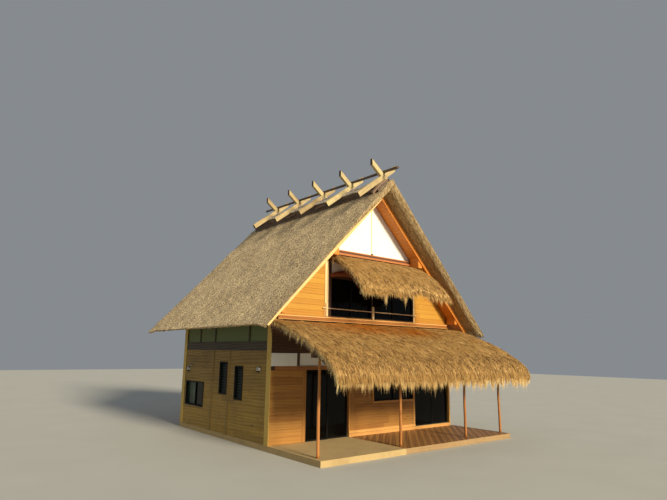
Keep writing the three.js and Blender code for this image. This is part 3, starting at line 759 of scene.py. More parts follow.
FINISHES = (
    # wall_boards: the loft boards' wood made darker as painted shade, for the boards in the shade of the lean-to
    Timber("wall_boards", (0.71, 0.51, 0.22), (0.54, 0.33, 0.10), 0.5, 7.0, 0.7, 0.12),
    Timber("loft_boards", (0.78, 0.59, 0.20), (0.66, 0.41, 0.09), 0.45, 7.0, 0.7, 0.08),
    # side_boards: the same wood, darker still, as painted shade for the left wall under the deep eave
    Timber("side_boards", (0.68, 0.54, 0.19), (0.37, 0.27, 0.07), 0.5, 7.0, 0.6, 0.3),
    Timber("trim_timber", (0.97, 0.80, 0.50), (0.80, 0.56, 0.27), 0.4, 10.0, 0.2, 0.1),
    Timber("front_trim_timber", (0.88, 0.67, 0.38), (0.72, 0.49, 0.23), 0.4, 10.0, 0.2, 0.1),
    Timber("corner_posts", (0.86, 0.73, 0.36), (0.66, 0.53, 0.22), 0.3, 10.0, 0.3, 0.2, Axis.Z),
    Timber("side_battens", (0.54, 0.42, 0.16), (0.40, 0.30, 0.09), 0.3, 10.0, 0.3, 0.2, Axis.Z),
    Timber("beam_timber", (0.76, 0.52, 0.27), (0.50, 0.28, 0.11), 0.4, 9.0, 0.4, 0.3, Axis.X),
    Timber("soffit_boards", (0.86, 0.55, 0.19), (0.74, 0.43, 0.12), 0.3, 8.0, 0.3, 0.1),
    # barge_boards is the sunlit face. barge_boards_deep is the same wood, more orange and darker, as painted shade
    # where the thatch verge shades the board.
    Timber("barge_boards", (0.96, 0.82, 0.58), (0.88, 0.68, 0.38), 0.3, 8.0, 0.2, 0.05, Axis.X),
    Timber("barge_boards_deep", (0.86, 0.56, 0.20), (0.74, 0.40, 0.10), 0.3, 8.0, 0.2, 0.05, Axis.X),
    Timber("roof_planks", (0.84, 0.50, 0.20), (0.58, 0.28, 0.08), axis=Axis.Y),
    Timber("stained_timber", (0.36, 0.22, 0.12), (0.16, 0.09, 0.05), 0.5, 9.0, 0.3, 0.3),
    Timber("stained_beam", (0.46, 0.27, 0.14), (0.22, 0.12, 0.06), 0.4, 9.0, 0.3, 0.3, Axis.X),
    Timber("rafter_timber", (0.42, 0.26, 0.13), (0.20, 0.11, 0.05), 0.4, 9.0, 0.3, 0.3, Axis.Y),
    Timber("peeled_timber", (0.83, 0.76, 0.55), (0.56, 0.45, 0.28), 0.5, 11.0, 0.6, 0.4, soil=(0.36, 0.28, 0.20)),
    Timber("cut_ends", (0.38, 0.31, 0.24), (0.16, 0.12, 0.09), 0.4, 16.0, 0.0, 0.3),
    Timber("ridge_pole_bark", (0.42, 0.34, 0.26), (0.20, 0.15, 0.11), 0.4, 6.0, 0.5, 0.4),
    Timber("cedar_bark", (0.46, 0.36, 0.28), (0.16, 0.11, 0.08), 0.7, 14.0, 0.2, 0.4, bump=0.8),
    Timber("old_bamboo", (1.0, 0.96, 0.89), (0.90, 0.82, 0.72), 0.6, 5.0, 0.0, 0.3),
    Timber("bark_edges", (0.72, 0.60, 0.50), (0.46, 0.36, 0.28), 0.5, 9.0, 0.2, 0.2),
    Timber("sill_timber", (0.66, 0.42, 0.15), (0.50, 0.28, 0.08), 0.3, 9.0, 0.3, 0.1, Axis.X),
    # side_beams: dark timber made darker still, with less blue, as painted shade under the eave
    Timber("side_beams", (0.25, 0.20, 0.08), (0.15, 0.12, 0.05), 0.4, 8.0, 0.4, 0.3),
    # rail_bamboo and peeled_uprights: made pale as painted sunlight on the rail, uprights and posts, which lie in the
    # hood's shade
    Timber("rail_bamboo", (0.98, 0.85, 0.66), (0.80, 0.64, 0.47), 0.5, 5.0, 0.0, 0.15),
    Timber("peeled_uprights", (1.0, 0.90, 0.68), (0.90, 0.74, 0.48), 0.3, 8.0, 0.3, 0.05),
    Timber("veranda_posts", (0.80, 0.54, 0.26), (0.56, 0.33, 0.12), 0.5, 9.0, 0.9, 0.2),
    Timber("beam_bands", (0.80, 0.51, 0.28), (0.58, 0.33, 0.16), 0.4, 8.0, 0.5, 0.2),
    Timber("curved_log", (0.62, 0.33, 0.17), (0.36, 0.17, 0.07), 0.3, 8.0, 0.5, 0.2),
    Timber("deck_boards", (0.68, 0.49, 0.27), (0.36, 0.22, 0.10), 0.7, 8.0, 0.3, 0.2),
    Timber("deck_fascia", (0.72, 0.60, 0.42), (0.54, 0.42, 0.27), 0.4, 8.0, 0.3, 0.2),
    # side_plaster: dark green, as painted shade with a painted green reflection on the side friezes
    Mineral("side_plaster", (0.36, 0.41, 0.20), (0.27, 0.30, 0.14), 0.2, roughness=0.6),
    Mineral("lime_plaster", (0.95, 0.95, 0.92), (0.74, 0.71, 0.62), 0.12),
    Mineral("pale_concrete", (0.74, 0.64, 0.44), (0.52, 0.42, 0.28), 0.35, 60.0),
    Metal("louvre_blades", (0.12, 0.15, 0.12), (0.06, 0.075, 0.06), 0.0, 0.3),
    Metal("black_frames", (0.028, 0.028, 0.03), (0.09, 0.085, 0.07), 0.0, 0.5),
    Metal("vent_metal", (0.72, 0.72, 0.70), (0.42, 0.38, 0.32), 0.8, 0.35),
    DarkGlass("dark_glass", (0.015, 0.015, 0.015), (0.05, 0.05, 0.045)),
    DarkGlass("tinted_glass", (0.12, 0.18, 0.14), (0.30, 0.38, 0.31)),
    Reed("reed_thatch", (1.0, 0.90, 0.71), (0.40, 0.31, 0.21), (0.52, 0.42, 0.26)),
    Straw("golden_straw", (0.94, 0.86, 0.63), (0.80, 0.64, 0.38), (0.38, 0.26, 0.12), (1.0, 0.73, 0.22)),
    Paper("floor_paper", (0.71, 0.71, 0.68), (0.75, 0.75, 0.72)),
)


def clipped(outline: Array, normal: Array, limit: float) -> Array:
    """Cuts a convex outline along a line.

    Args:
        outline: (k, 2) corners in order.
        normal: (2,) direction towards the side that is cut off.
        limit: the line's distance from the origin along that direction.

    Returns:
        (m, 2) corners of the part that is kept.
    """
    kept = []
    for a, b in zip(outline, np.roll(outline, -1, 0)):
        near, far = a @ normal - limit, b @ normal - limit
        if near <= 0:
            kept.append(a)
        if near * far < 0:
            kept.append(a + (b - a) * near / (near - far))
    return np.array(kept)


def board_rows(low: float, high: float, start: float, end: float, holes: list[tuple[float, float, float, float]],
               pitch: float, rng: Random) -> Array:
    """Lays horizontal boards over a wall and round its openings.

    Args:
        low: foot of the wall.
        high: top of the wall.
        start: one end along the wall.
        end: the other end.
        holes: openings as start, end, low, high.
        pitch: height of a board.
        rng: random numbers for the joints.

    Returns:
        (n, 4) start, end, low and high of each board.
    """
    levels = np.linspace(low, high, max(1, round((high - low) / pitch)) + 1)
    found = []
    for z0, z1 in zip(levels[:-1], levels[1:]):
        edges = {start, end}
        joint = start + rng.uniform(0.4, 1.0) * LONGEST_BOARD
        while joint < end - 0.4:
            edges.add(joint)
            joint += rng.uniform(0.7, 1.0) * LONGEST_BOARD
        crossed = [h for h in holes if h[2] < z1 - 0.002 and h[3] > z0 + 0.002]
        for hole in crossed:
            edges = {e for e in edges if not hole[0] < e < hole[1]} | {hole[0], hole[1]}
        line = sorted(edges)
        for a, b in zip(line[:-1], line[1:]):
            inside = [h for h in crossed if h[0] < (a + b) / 2 < h[1]]
            pieces = [(z0, min(z1, inside[0][2])), (max(z0, inside[0][3]), z1)] if inside else [(z0, z1)]
            found += [(a, b, c, d) for c, d in pieces if d - c > 0.012 and b - a > 0.01]
    return np.array(found)


@dataclass
class Walls:
    """Boards, plaster panels, battens and trims over the wall nodes."""

    paint: Palette
    joint: float = 0.0015
    face: float = 0.004
    back: float = 0.0148
    lap: float = 0.0035
    flange: float = 0.036
    inset: float = 0.0295
    storey: Pair = (0.152, 2.673)

    def lay(self, shape: Shape, rows: Array, axis: Axis = Axis.X, wall: float = FRONT, sign: int = 1,
            trim: float | None = None, tone: Tone = None) -> None:
        """Adds boards to a wall.

        Args:
            shape: where they go.
            rows: boards as start, end, low, high.
            axis: the wall's own direction, X or Y.
            wall: the place of the posts' outer face.
            sign: +1 where outwards is the lower coordinate.
            trim: level at which the roof cuts their ends.
            tone: (n,) shades.
        """
        depth = np.tile(sorted([wall + sign * self.face, wall + sign * self.back]), (len(rows), 1))
        run, rise = (rows[:, k:k + 2] + [self.joint, -self.joint] for k in (0, 2))
        order = [run, depth, rise] if axis is Axis.X else [depth, run, rise]
        shape.boxes(np.hstack(order), 0.003, axis, tone, trim)

    def build(self) -> None:
        """Builds each wall's cladding."""
        self.front()
        self.loft()
        rng = np.random.default_rng(32)
        for side in Side:
            self.side(side, rng)
        self.rear()

    def front(self) -> None:
        """Clads the ground floor of the gable front, with its frieze and the door posts."""
        paint, lap, inset, corner = self.paint, self.lap, self.inset, FRONT - CORNER_OUT
        rng = np.random.default_rng(12)
        shape = Shape(11)
        self.lay(shape, board_rows(0.1535, DOOR_HEAD, -3.82, -2.606, [], 0.2, rng), wall=corner)
        window = [(0.064, 1.926, 1.149, 2.15)]
        self.lay(shape, board_rows(0.2515, DOOR_HEAD, -0.974, 1.984, window, 0.2, rng))
        shape.boxes(on_front(((-0.947, -0.775, 0.008, lap, 0.252, DOOR_HEAD),
                              (-2.72, -2.607, 0.016, lap, 0.152, DOOR_HEAD))), 0.004, Axis.Z)
        shape.object("front_cladding", paint["wall_boards"], "cedar_boards")

        upper = Shape(13)
        self.lay(upper, board_rows(2.622, 3.572, -3.689, 3.764, [], 0.16, rng))
        self.lay(upper, board_rows(2.622, 3.572, -3.82, -3.689, [], 0.16, rng), wall=corner)
        upper.object("upper_cladding", paint["stained_timber"], "dark_timber")

        frieze = (2.2615, 2.6185)
        planks("corner_frieze", 16, on_front(((-3.82, -2.945, 0.004, inset, *frieze),)), paint["lime_plaster"],
               "plaster", 0.002)
        posts = ((-2.945, -2.845), (-0.83, -0.73), (1.03, 1.12), (2.74, 2.82))
        planks("front_frieze_posts", 14, on_front((
            (-3.82, -3.689, 0.008, 0.003, 2.15, 2.26), *((a, b, 0.002, inset, *frieze) for a, b in posts),
            (-3.689, 3.764, 0.004, 0.0145, 2.765, 2.79))), paint["stained_timber"], "dark_timber")
        planks("front_trim", 15, on_front((
            (-0.973, -0.948, 0.012, lap, 0.252, DOOR_HEAD), (1.90, 1.983, 0.008, lap, 0.252, DOOR_HEAD),
            (-0.972, 1.983, 0.022, 0.003, 0.252, 0.33), (0.02, 1.955, 0.03, 0.003, 1.09, 1.149),
            (0.02, 0.063, 0.02, 0.003, 1.15, DOOR_HEAD), (1.927, 1.955, 0.02, 0.003, 1.15, DOOR_HEAD),
            (3.766, 3.80, 0.02, -0.001, 0.152, 2.62), (-0.97, 3.80, 0.028, -0.001, 0.152, 0.248))),
            paint["front_trim_timber"], "cedar_boards", 0.004)

    def loft(self) -> None:
        """Clads the loft's front round its window, with the posts, sill lines, panel, log and gable battens."""
        paint, deep = self.paint, 0.013
        rng = np.random.default_rng(22)
        shape = Shape(21)
        window = [(-1.976, 2.021, 3.721, 5.71)]
        for rows in ((3.723, 5.708, -3.73, 3.73, window), (4.985, 5.708, 0.0, 2.019, [])):
            self.lay(shape, board_rows(*rows, 0.17, rng), trim=ROOF_CUT)
        shape.object("loft_cladding", paint["loft_boards"], "cedar_boards")

        planks("loft_posts", 23, on_front(((-1.975, -1.845, 0.012, deep, 3.7215, 5.70),
                                           (1.973, 2.02, 0.012, deep, 3.7215, 5.62))),
               paint["peeled_uprights"], "cedar_boards", 0.004)
        planks("sill_lines", 24, on_front(((-3.70, 3.70, 0.0875, -0.0805, 3.676, 3.705),
                                           (-3.70, 3.70, 0.0875, -0.0805, 3.574, 3.583))),
               paint["trim_timber"], "cedar_boards", 0.002)
        plaster = Shape(25)
        outline = [[-1.72, 5.0], [-1.2, 5.1], [-0.8, 5.16], [0.0, 5.2], [0.0, 5.58], [-1.72, 5.58]]
        plaster.bar(np.array(outline), Axis.Y, FRONT - 0.003, FRONT + deep)
        plaster.object("loft_panel", paint["lime_plaster"], "plaster")
        planks("loft_lintel", 26, on_front((
            (-1.844, -1.72, 0.006, deep, 3.745, 5.70), (-1.72, -0.03, 0.012, deep, 5.58, 5.70),
            (-1.72, 1.972, 0.004, deep, 4.94, 5.02), (-0.012, 0.012, 0.003, 0.0235, 3.745, 5.70),
            (-0.03, 0.03, 0.03, 0.02, 5.8685, 5.92))), paint["stained_timber"], "dark_timber")

        log = Shape(27)
        path = resample(np.array([[-1.775, 5.02], [-1.5, 5.07], [-1.2, 5.125], [-0.8, 5.20], [-0.3, 5.24], [0.3, 5.25],
                                  [0.9, 5.22], [1.5, 5.12], [1.93, 5.02]]), 40, 3)
        thick = 0.055 + 0.055 * np.clip((path[:, 0] + 1.78) / 0.6, 0, 1)
        centre = np.stack([path[:, 0], np.full(40, FRONT - 0.045), path[:, 1]], 1)
        log.tube(centre + 0.004 * np.stack([ripple(centre, 0.5, s) for s in (1, 2, 3)], 1), thick, 14)
        log.object("curved_log", paint["curved_log"], "cedar_boards", smooth=True)

        planks("gable_batten", 28, on_front(((-0.016, 0.016, -0.012, self.inset, 5.872, 7.74),)),
               paint["peeled_uprights"], "cream_timber", 0.002)
        planks("gable_beam_bands", 29, on_front(((-2.0, 2.0, 0.048, -0.0405, 5.835, 5.868),
                                                 (-2.0, 2.0, 0.046, -0.0405, 5.712, 5.775))),
               paint["beam_bands"], "dark_timber", 0.002, Axis.X, ROOF_CUT)

    def side(self, side: Side, rng: Random) -> None:
        """Clads one long wall, with its battens, frieze dividers, window flanges and corner boards.

        Args:
            side: which of the two.
            rng: random numbers for joints and tones.
        """
        paint, name = self.paint, side.name.lower()
        wall, sign = side.value * HALF_WIDTH, -side.value
        left = side is Side.LEFT
        holes = ([(4.185, 5.62, 0.80, 1.617), (2.558, 3.07, 1.317, 2.32), (1.55, 2.056, 1.219, 2.216)] if left
                 else [(2.2, 3.65, 1.15, 2.1)])
        cut = [(a + FRONT - 0.001, b + FRONT + 0.001, c - 0.001, d + 0.001) for a, b, c, d in holes]
        shape = Shape(33 + side.value)
        rows = board_rows(0.1515, 2.6735, FRONT + 0.1365, FRONT + DEPTH - 0.1365, cut, 0.195, rng)
        # Upper boards are darker, as painted shade under the eave, plus a random tone for each board.
        tone = np.clip(0.4 * (rows[:, 2] - 0.1) + rng.normal(0, 0.13, len(rows)), 0, 1)
        self.lay(shape, rows, Axis.Y, wall, sign, None, tone)
        shape.object(f"{name}_cladding", paint["side_boards" if left else "wall_boards"], "cedar_boards")

        def strip(out: float, deep: float, a: float, b: float, low: float, high: float) -> Box:
            """Gives the box of a strip on this wall, from its outer to its inner face."""
            return *sorted([wall - sign * out, wall + sign * deep]), FRONT + a, FRONT + b, low, high

        battens = [strip(0.010, self.lap, c - 0.045, c + 0.045, *self.storey)
                   for c in ((2.42, 3.54) if left else (2.10, 3.75))]
        planks(f"{name}_battens", 36, battens, paint["side_battens"], "cedar_boards")
        flanges = Shape(39)
        wide = self.flange
        for a, b, low, high in holes:
            flanges.boxes([strip(0.012, 0.0245, *edges) for edges in (
                (a, a + wide, low, high), (b - wide, b, low, high),
                (a + wide, b - wide, low, low + wide), (a + wide, b - wide, high - wide, high))])
        flanges.object(f"{name}_window_flanges", paint["black_frames"], "black_frame")
        head = SOFFIT - BOARD_SLOPE * (HALF_WIDTH + CORNER_OUT) - 0.018
        ends = [strip(CORNER_OUT, -0.0005, a, b, 0.1515, head)
                for a, b in ((-0.008, 0.215), (DEPTH - 0.215, DEPTH + 0.008))]
        planks(f"{name}_corner_boards", 37, ends, paint["corner_posts"], "cedar_boards", axis=Axis.Z)
        dividers = [strip(-0.004, self.inset, c - 0.035, c + 0.035, 2.9185, 3.70) for c in (1.28, 3.54, 4.69)]
        dividers.append(strip(0.006, -0.0005, 0.216, DEPTH - 0.216, 2.677, 2.93))
        planks(f"{name}_frieze_posts", 38, dividers, paint["side_beams"], "dark_timber")

    def rear(self) -> None:
        """Clads the rear gable as the front, with plain boards round its windows."""
        rng = np.random.default_rng(42)
        back, near = FRONT + DEPTH, FRONT + DEPTH - self.lap
        shape = Shape(41)
        self.lay(shape, board_rows(0.1515, 2.6735, -3.689, 3.689, [(-0.726, 0.726, 1.149, 2.101)], 0.195, rng),
                 wall=back, sign=-1)
        self.lay(shape, board_rows(2.919, 5.868, -3.75, 3.75, [(-0.701, 0.701, 3.999, 4.981)], 0.17, rng),
                 wall=back, sign=-1, trim=ROOF_CUT)
        shape.object("rear_cladding", self.paint["wall_boards"], "cedar_boards")
        strips = []
        for half, low, high in ((0.725, 1.15, 2.10), (0.70, 4.0, 4.98)):
            strips += [(-half - 0.06, -half - 0.002, near, back + 0.014, low - 0.05, high + 0.05),
                       (half + 0.002, half + 0.06, near, back + 0.014, low - 0.05, high + 0.05),
                       (-half - 0.06, half + 0.06, near, back + 0.022, low - 0.075, low - 0.004)]
        strips += [(x - 0.045, x + 0.045, near, back + 0.010, *self.storey) for x in (-1.9, 1.9)]
        strips.append((-0.016, 0.016, back - self.inset, back - 0.012, 5.872, 7.74))
        planks("rear_trim", 43, strips, self.paint["trim_timber"], "cedar_boards")


@dataclass
class Glazing:
    """Frames, sashes, louvre blades and dark panes in place of the window and door nodes."""

    paint: Palette
    sash: float = 0.045
    pane: float = 0.006
    tuck: float = 0.004

    def panel(self, node: str, panes: int, body: str = "house", blades: int = 0, glass: tuple[str, ...] = ()) -> None:
        """Builds one window or door leaf in its node's box.

        Args:
            node: the node it stands for, thin along X or Y.
            panes: how many lights stand side by side.
            body: the body it moves with.
            blades: number of louvre blades, none at 0.
            glass: the panes' finishes in order, where they differ.
        """
        low, high = (np.array(corner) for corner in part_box(node))
        size = high - low
        thin = 0 if size[0] < size[1] else 1
        run = 1 - thin
        low_out = low[thin] + size[thin] / 2 < (0.0 if thin == 0 else 1.0)

        def part(a: float, b: float, c: float, d: float, near: float, far: float) -> Array:
            """Gives a box from its start and end along, heights, and depths from the outer face."""
            bounds = np.zeros((3, 2))
            bounds[run] = low[run] + np.array([a, b])
            bounds[2] = low[2] + np.array([c, d])
            bounds[thin] = (low[thin] + near, low[thin] + far) if low_out else (high[thin] - far, high[thin] - near)
            return bounds.ravel()

        width, height, depth = size[run], size[2], size[thin]
        s, tuck = self.sash, self.tuck
        parts = [part(0, width, 0, s, 0, depth), part(0, width, height - s, height, 0, depth)]
        clear = (width - s * (panes + 1)) / panes
        for i in range(panes + 1):
            a = i * (clear + s)
            inset = 0.0 if i in (0, panes) else depth * 0.12
            parts.append(part(a, a + s, s, height - s, inset, depth - inset))
        shape = Shape(51)
        shape.boxes(parts)
        shape.object(f"{node}_frame", self.paint["black_frames"], "black_frame", body, replaces=(node,))
        if blades:
            shape = Shape(53)
            pitch = (height - 2 * s) / blades
            for i in range(blades):
                z = s + i * pitch
                bounds = part(s - tuck, width - s + tuck, z, z + pitch, 0.006, depth * 0.42).reshape(3, 2)
                near, far = bounds[thin] if low_out else bounds[thin][::-1]
                foot, head = bounds[2] + [0.004, -0.012]
                profile = np.array([[near, foot], [near, foot + 0.006], [far, head + 0.006], [far, head]])
                shape.bar(profile, Axis(run), *bounds[run])
            shape.object(f"{node}_blades", self.paint["louvre_blades"], "black_frame", body)
        middle = depth * 0.55
        kinds = glass or ("dark_glass",) * panes
        for number, kind in enumerate(dict.fromkeys(kinds)):
            starts = [i * (clear + s) for i in range(panes) if kinds[i] == kind]
            panels = Shape(52)
            panels.boxes([part(s - tuck + a, s + clear + tuck + a, s - tuck, height - s + tuck,
                               middle - self.pane / 2, middle + self.pane / 2) for a in starts], 0.0)
            panels.object(f"{node}_glass" + ("_2" if number else ""), self.paint[kind], "black_frame", body)

    def build(self) -> None:
        """Builds every window and door leaf."""
        for node in ("front_window", "rear_window", "rear_loft_window", "right_window"):
            self.panel(node, 2)
        self.panel("side_window", 2, glass=("dark_glass", "tinted_glass"))
        self.panel("loft_window", 4)
        self.panel("louvre_window_1", 1, blades=11)
        self.panel("louvre_window_2", 1, blades=11)
        for node in ("entrance_door_left", "entrance_door_right", "veranda_door_left", "veranda_door_right"):
            self.panel(node, 1, node)


def spikes(shape: Shape, root: Array, tip: Array, width: Array, normal: Array, tone: Array) -> None:
    """Adds short straws: three-cornered spikes with four faces each.

    Args:
        shape: where they go.
        root: (n, 3) roots.
        tip: (n, 3) ends.
        width: (n,) widths at the root.
        normal: (n, 3) directions away from the roof.
        tone: (n,) shades.
    """
    n = len(root)
    axis = tip - root
    side = np.cross(axis, normal)
    side *= (width / 2 / np.maximum(np.linalg.norm(side, axis=1), 1e-9))[:, None]
    crest = root + axis * 0.35 + normal * (width * 0.6)[:, None]
    points = np.stack([root - side, root + side, crest, tip], 1)
    start = (np.arange(n) * 4)[:, None]
    triangles = np.concatenate([start + t for t in ([0, 1, 2], [1, 3, 2], [3, 0, 2], [0, 3, 1])])
    shades = np.repeat(tone, 4)
    grain = np.stack([np.tile([0.0, 0.0, 0.4, 1.0], n), shades, np.zeros(4 * n)], 1)
    shape.add(points.reshape(-1, 3), [triangles], grain, shades)


def stalks(shape: Shape, root: Array, middle: Array, tip: Array, width: Array, normal: Array, tone: Array) -> None:
    """Adds loose stalks of straw: thin three-sided spikes, bent at their middle.

    Args:
        shape: where they go.
        root: (n, 3) roots.
        middle: (n, 3) points half way.
        tip: (n, 3) ends.
        width: (n,) widths at the root.
        normal: (n, 3) directions away from the roof.
        tone: (n,) shades.
    """
    n = len(root)
    side = unit(np.cross(tip - root, normal))
    out = unit(np.cross(side, tip - root))
    half = (width / 2)[:, None]
    points = np.zeros((n, 7, 3))
    for k, (centre, size) in enumerate(((root, 1.0), (middle, 0.85))):
        points[:, 3 * k] = centre - side * half * size - out * half * 0.25
        points[:, 3 * k + 1] = centre + side * half * size - out * half * 0.25
        points[:, 3 * k + 2] = centre + out * half * 0.7 * size
    points[:, 6] = tip
    start = (np.arange(n) * 7)[:, None]
    quads = np.concatenate([start + [a, b, b + 3, a + 3] for a, b in ((0, 1), (1, 2), (2, 0))])
    triangles = np.concatenate([start + t for t in ([0, 2, 1], [3, 4, 6], [4, 5, 6], [5, 3, 6])])
    along = np.tile([0.0, 0.0, 0.0, 0.55, 0.55, 0.55, 1.0], n)
    grain = np.stack([along, np.repeat(tone, 7), np.zeros(7 * n)], 1)
    shape.add(points.reshape(-1, 3), [quads, triangles], grain, np.repeat(tone, 7))


@dataclass
class MainThatch:
    """The two steep slopes of sheared reed, as one closed skin with undercut verges and drooping corners."""

    paint: Palette
    top: float = 8.29
    front: float = -1.02
    rear: float = 7.62
    bend: float = 4.585
    barge_seat: float = 7.9225
    board_seat: float = 7.8595
    eave: Line = ((4.31, 3.4195), (4.615, 3.269), (4.655, 3.309))
    retreat: float = 0.07
    step: float = 0.055
    bevel_right: float = 1.2
    bevel_left: float = 0.3
    bristle_count: int = 7000

    def eave_level(self, x: Array) -> Array:
        """Gives the level of the eave's underside at distances from the ridge line."""
        return np.interp(x, *np.array(self.eave).T)

    def foot(self, x: Array, inward: Array, bevel: float | Array) -> Array:
        """Gives the level of the skin's underside.

        Args:
            x: (1, k) distances from the ridge line.
            inward: (m, 1) distances from the verge's rim.
            bevel: how steeply the verge's face runs back under its rim.

        Returns:
            (m, k) levels: the verge's bevelled face and undercut, the seat over the bargeboard, then that over the
            roof boards.
        """
        seat = self.barge_seat - BOARD_SLOPE * x
        rim = np.minimum(8.085 - 1.005 * x, 8.19 - 1.05 * x) - bevel * np.minimum(inward, 0.14) - 0.1 * inward
        rim = rim - 0.08 * np.clip(1 - x / 1.6, 0, 1) * (np.asarray(bevel) < 0.5)
        rim = np.maximum(rim, seat)
        share = np.clip((inward - 0.25) / 0.27, 0, 1)
        level = np.where(inward > 0.575, self.board_seat - BOARD_SLOPE * x, rim * (1 - share) + seat * share)
        level = np.where(x < self.eave[0][0], level, np.maximum(level, self.eave_level(x)))
        return np.minimum(level, self.top - THATCH_SLOPE * x - 0.02)

    def settle(self, x: Array, z: Array, back: Array) -> tuple[Array, Array]:
        """Draws the eave back between the corners, which droop.

        Args:
            x: distances from the ridge line.
            z: levels.
            back: depths.

        Returns:
            The moved x and z: the last half metre slides up the slope, by nothing at the rim and most from 0.7 m in.
        """
        inward = np.minimum(back - self.front, self.rear - back)
        share = np.clip(inward / 0.7, 0, 1)
        pull = self.retreat * share * share * (3 - 2 * share) * np.clip((x - 4.15) / 0.45, 0, 1)
        return x - pull, z + THATCH_SLOPE * pull

    def build(self) -> None:
        """Builds the skin: for each depth a ring down the right slope, back under it, and its mirror image."""
        (seat, _), (heel, _), (lip, _) = self.eave
        rim = np.array([0, 0.002, 0.010, 0.030, 0.07, 0.14, 0.19, 0.25, 0.34, 0.43, 0.525, 0.573, 0.585])
        inner = np.arange(self.front + 0.64, self.rear - 0.63, self.step)
        back = np.concatenate([self.front + rim, inner, self.rear - rim[::-1]])[:, None]
        inward = np.minimum(back - self.front, self.rear - back)
        slope_points = int(self.bend * THATCH_LENGTH / self.step)
        over = np.concatenate([np.linspace(0, self.bend, slope_points), [4.643, lip]])[None]
        under = np.concatenate([[heel, 4.46], np.linspace(seat, 0, 26)])[None]
        full = np.interp(inward, [0, 0.002, 0.010, 0.030], [0.02, 0.62, 0.93, 1.0])
        halves = []
        for bevel in (self.bevel_right, self.bevel_left):
            middle = [(self.top - THATCH_SLOPE * x + self.foot(x, inward, bevel)) / 2 for x in (over, under)]
            z_over = middle[0] + full * (self.top - THATCH_SLOPE * over - middle[0])
            z_under = middle[1] + full * (self.foot(under, inward, bevel) - middle[1])
            half_x = np.broadcast_to(np.hstack([over, under]), (len(back), over.size + under.size))
            halves.append(self.settle(half_x, np.hstack([z_over, z_under]), back))
        (right_x, right_z), (left_x, left_z) = halves
        mirror = slice(-2, 0, -1)
        x = np.hstack([right_x, -left_x[:, mirror]])
        z = np.hstack([right_z, left_z[:, mirror]])
        rings = np.stack([x, np.broadcast_to(back + FRONT, x.shape), z], 2)
        run = np.concatenate([over[0] * THATCH_LENGTH, 6.9 + 0.3 * (lip - under[0])])
        run = np.concatenate([run, run[mirror]])
        shown = np.concatenate([np.ones(over.size), [0.8, 0.3], np.zeros(26)])
        shown = np.concatenate([shown, shown[mirror]])[None]
        flat = rings.reshape(-1, 3)
        normal = unit(np.cross(np.gradient(rings, axis=1), np.gradient(rings, axis=0)).reshape(-1, 3))
        outward = np.sign((normal * (flat - [0, flat[:, 1].mean(), 4.0])).sum(1, keepdims=True))
        bumps = 0.008 * ripple(flat, 1.3, 61) + 0.005 * ripple(flat, 0.35, 62) + 0.0045 * ripple(flat, 0.11, 63)
        weight = (np.broadcast_to(shown, x.shape) * np.clip(inward / 0.03, 0.2, 1)).reshape(-1, 1)
        flat = flat + normal * outward * bumps[:, None] * weight
        near = np.maximum(np.clip(1 - inward / 0.05, 0, 1), 0.3 * np.clip(1 - inward / 0.9, 0, 1))
        cut = np.maximum(near * np.ones_like(x), 1 - shown)
        grain = np.stack([np.broadcast_to(run[None], x.shape), rings[..., 1], 0.2 * x], 2)
        shape = Shape(60)
        shape.loft(flat.reshape(rings.shape), 0.0)
        shape.grain, shape.tone = [grain.reshape(-1, 3)], [cut.ravel()]
        shape.object("main_thatch", self.paint["reed_thatch"], "thatch_grey", smooth=True,
                     replaces=("main_thatch_left", "main_thatch_right"))
        self.bristles()

    def bristles(self) -> None:
        """Adds the short cut ends of reed that stand out of the verges' faces and hang from the eaves."""
        shape = Shape(64)
        rng = shape.rng
        n = self.bristle_count
        side = rng.choice([-1.0, 1.0], (4, n))
        x = rng.uniform(0.02, 4.62, n)
        face = rng.uniform(0.05, 0.95, n)
        depth = rng.uniform(0.0, 0.02, n)
        roof = self.top - THATCH_SLOPE * x
        low = self.foot(x, depth, np.where(side[0] > 0, self.bevel_right, self.bevel_left))
        ahead = np.where(side[1] > 0, self.front + depth, self.rear - depth)
        px, pz = self.settle(x, low + (roof - low) * face, ahead)
        root = np.stack([side[0] * px, ahead + FRONT, pz], 1)
        length = rng.uniform(0.012, 0.035, n)
        away = unit(np.stack([side[0] * 0.5, -side[1] * rng.uniform(0.3, 0.9, n), np.full(n, -0.5)], 1))
        tip = root + (away + rng.normal(0, 0.25, (n, 3))) * length[:, None]
        tip[:, 1] = np.clip(tip[:, 1], self.front + FRONT - 0.02, self.rear + FRONT + 0.02)
        spikes(shape, root, tip, rng.uniform(0.005, 0.010, n), np.tile([0.0, 0.3, 1.0], (n, 1)), rng.uniform(0.2, 1, n))

        back = rng.uniform(self.front + 0.01, self.rear - 0.01, n)
        start = np.clip(rng.normal(4.63, 0.02, n), 4.55, 4.65)
        px, pz = self.settle(start, self.eave_level(start) + 0.012, back)
        root = np.stack([side[2] * px, back + FRONT, pz], 1)
        length = rng.uniform(0.012, 0.04, n) * (0.7 + 0.5 * np.abs(ripple(root, 0.3, 65)))
        away = np.stack([side[2] * rng.uniform(0.1, 0.5, n), rng.normal(0, 0.15, n), np.full(n, -0.9)], 1)
        outward = np.stack([side[2], np.zeros(n), np.zeros(n)], 1)
        tip = root + away * length[:, None]
        spikes(shape, root, tip, rng.uniform(0.005, 0.010, n), outward, rng.uniform(0.2, 1, n))
        points = np.concatenate(shape.points)
        shape.grain = [points + np.repeat(shape.shift(len(points) // 4, 3), 4, 0)]
        shape.object("thatch_bristles", self.paint["reed_thatch"], "thatch_grey")


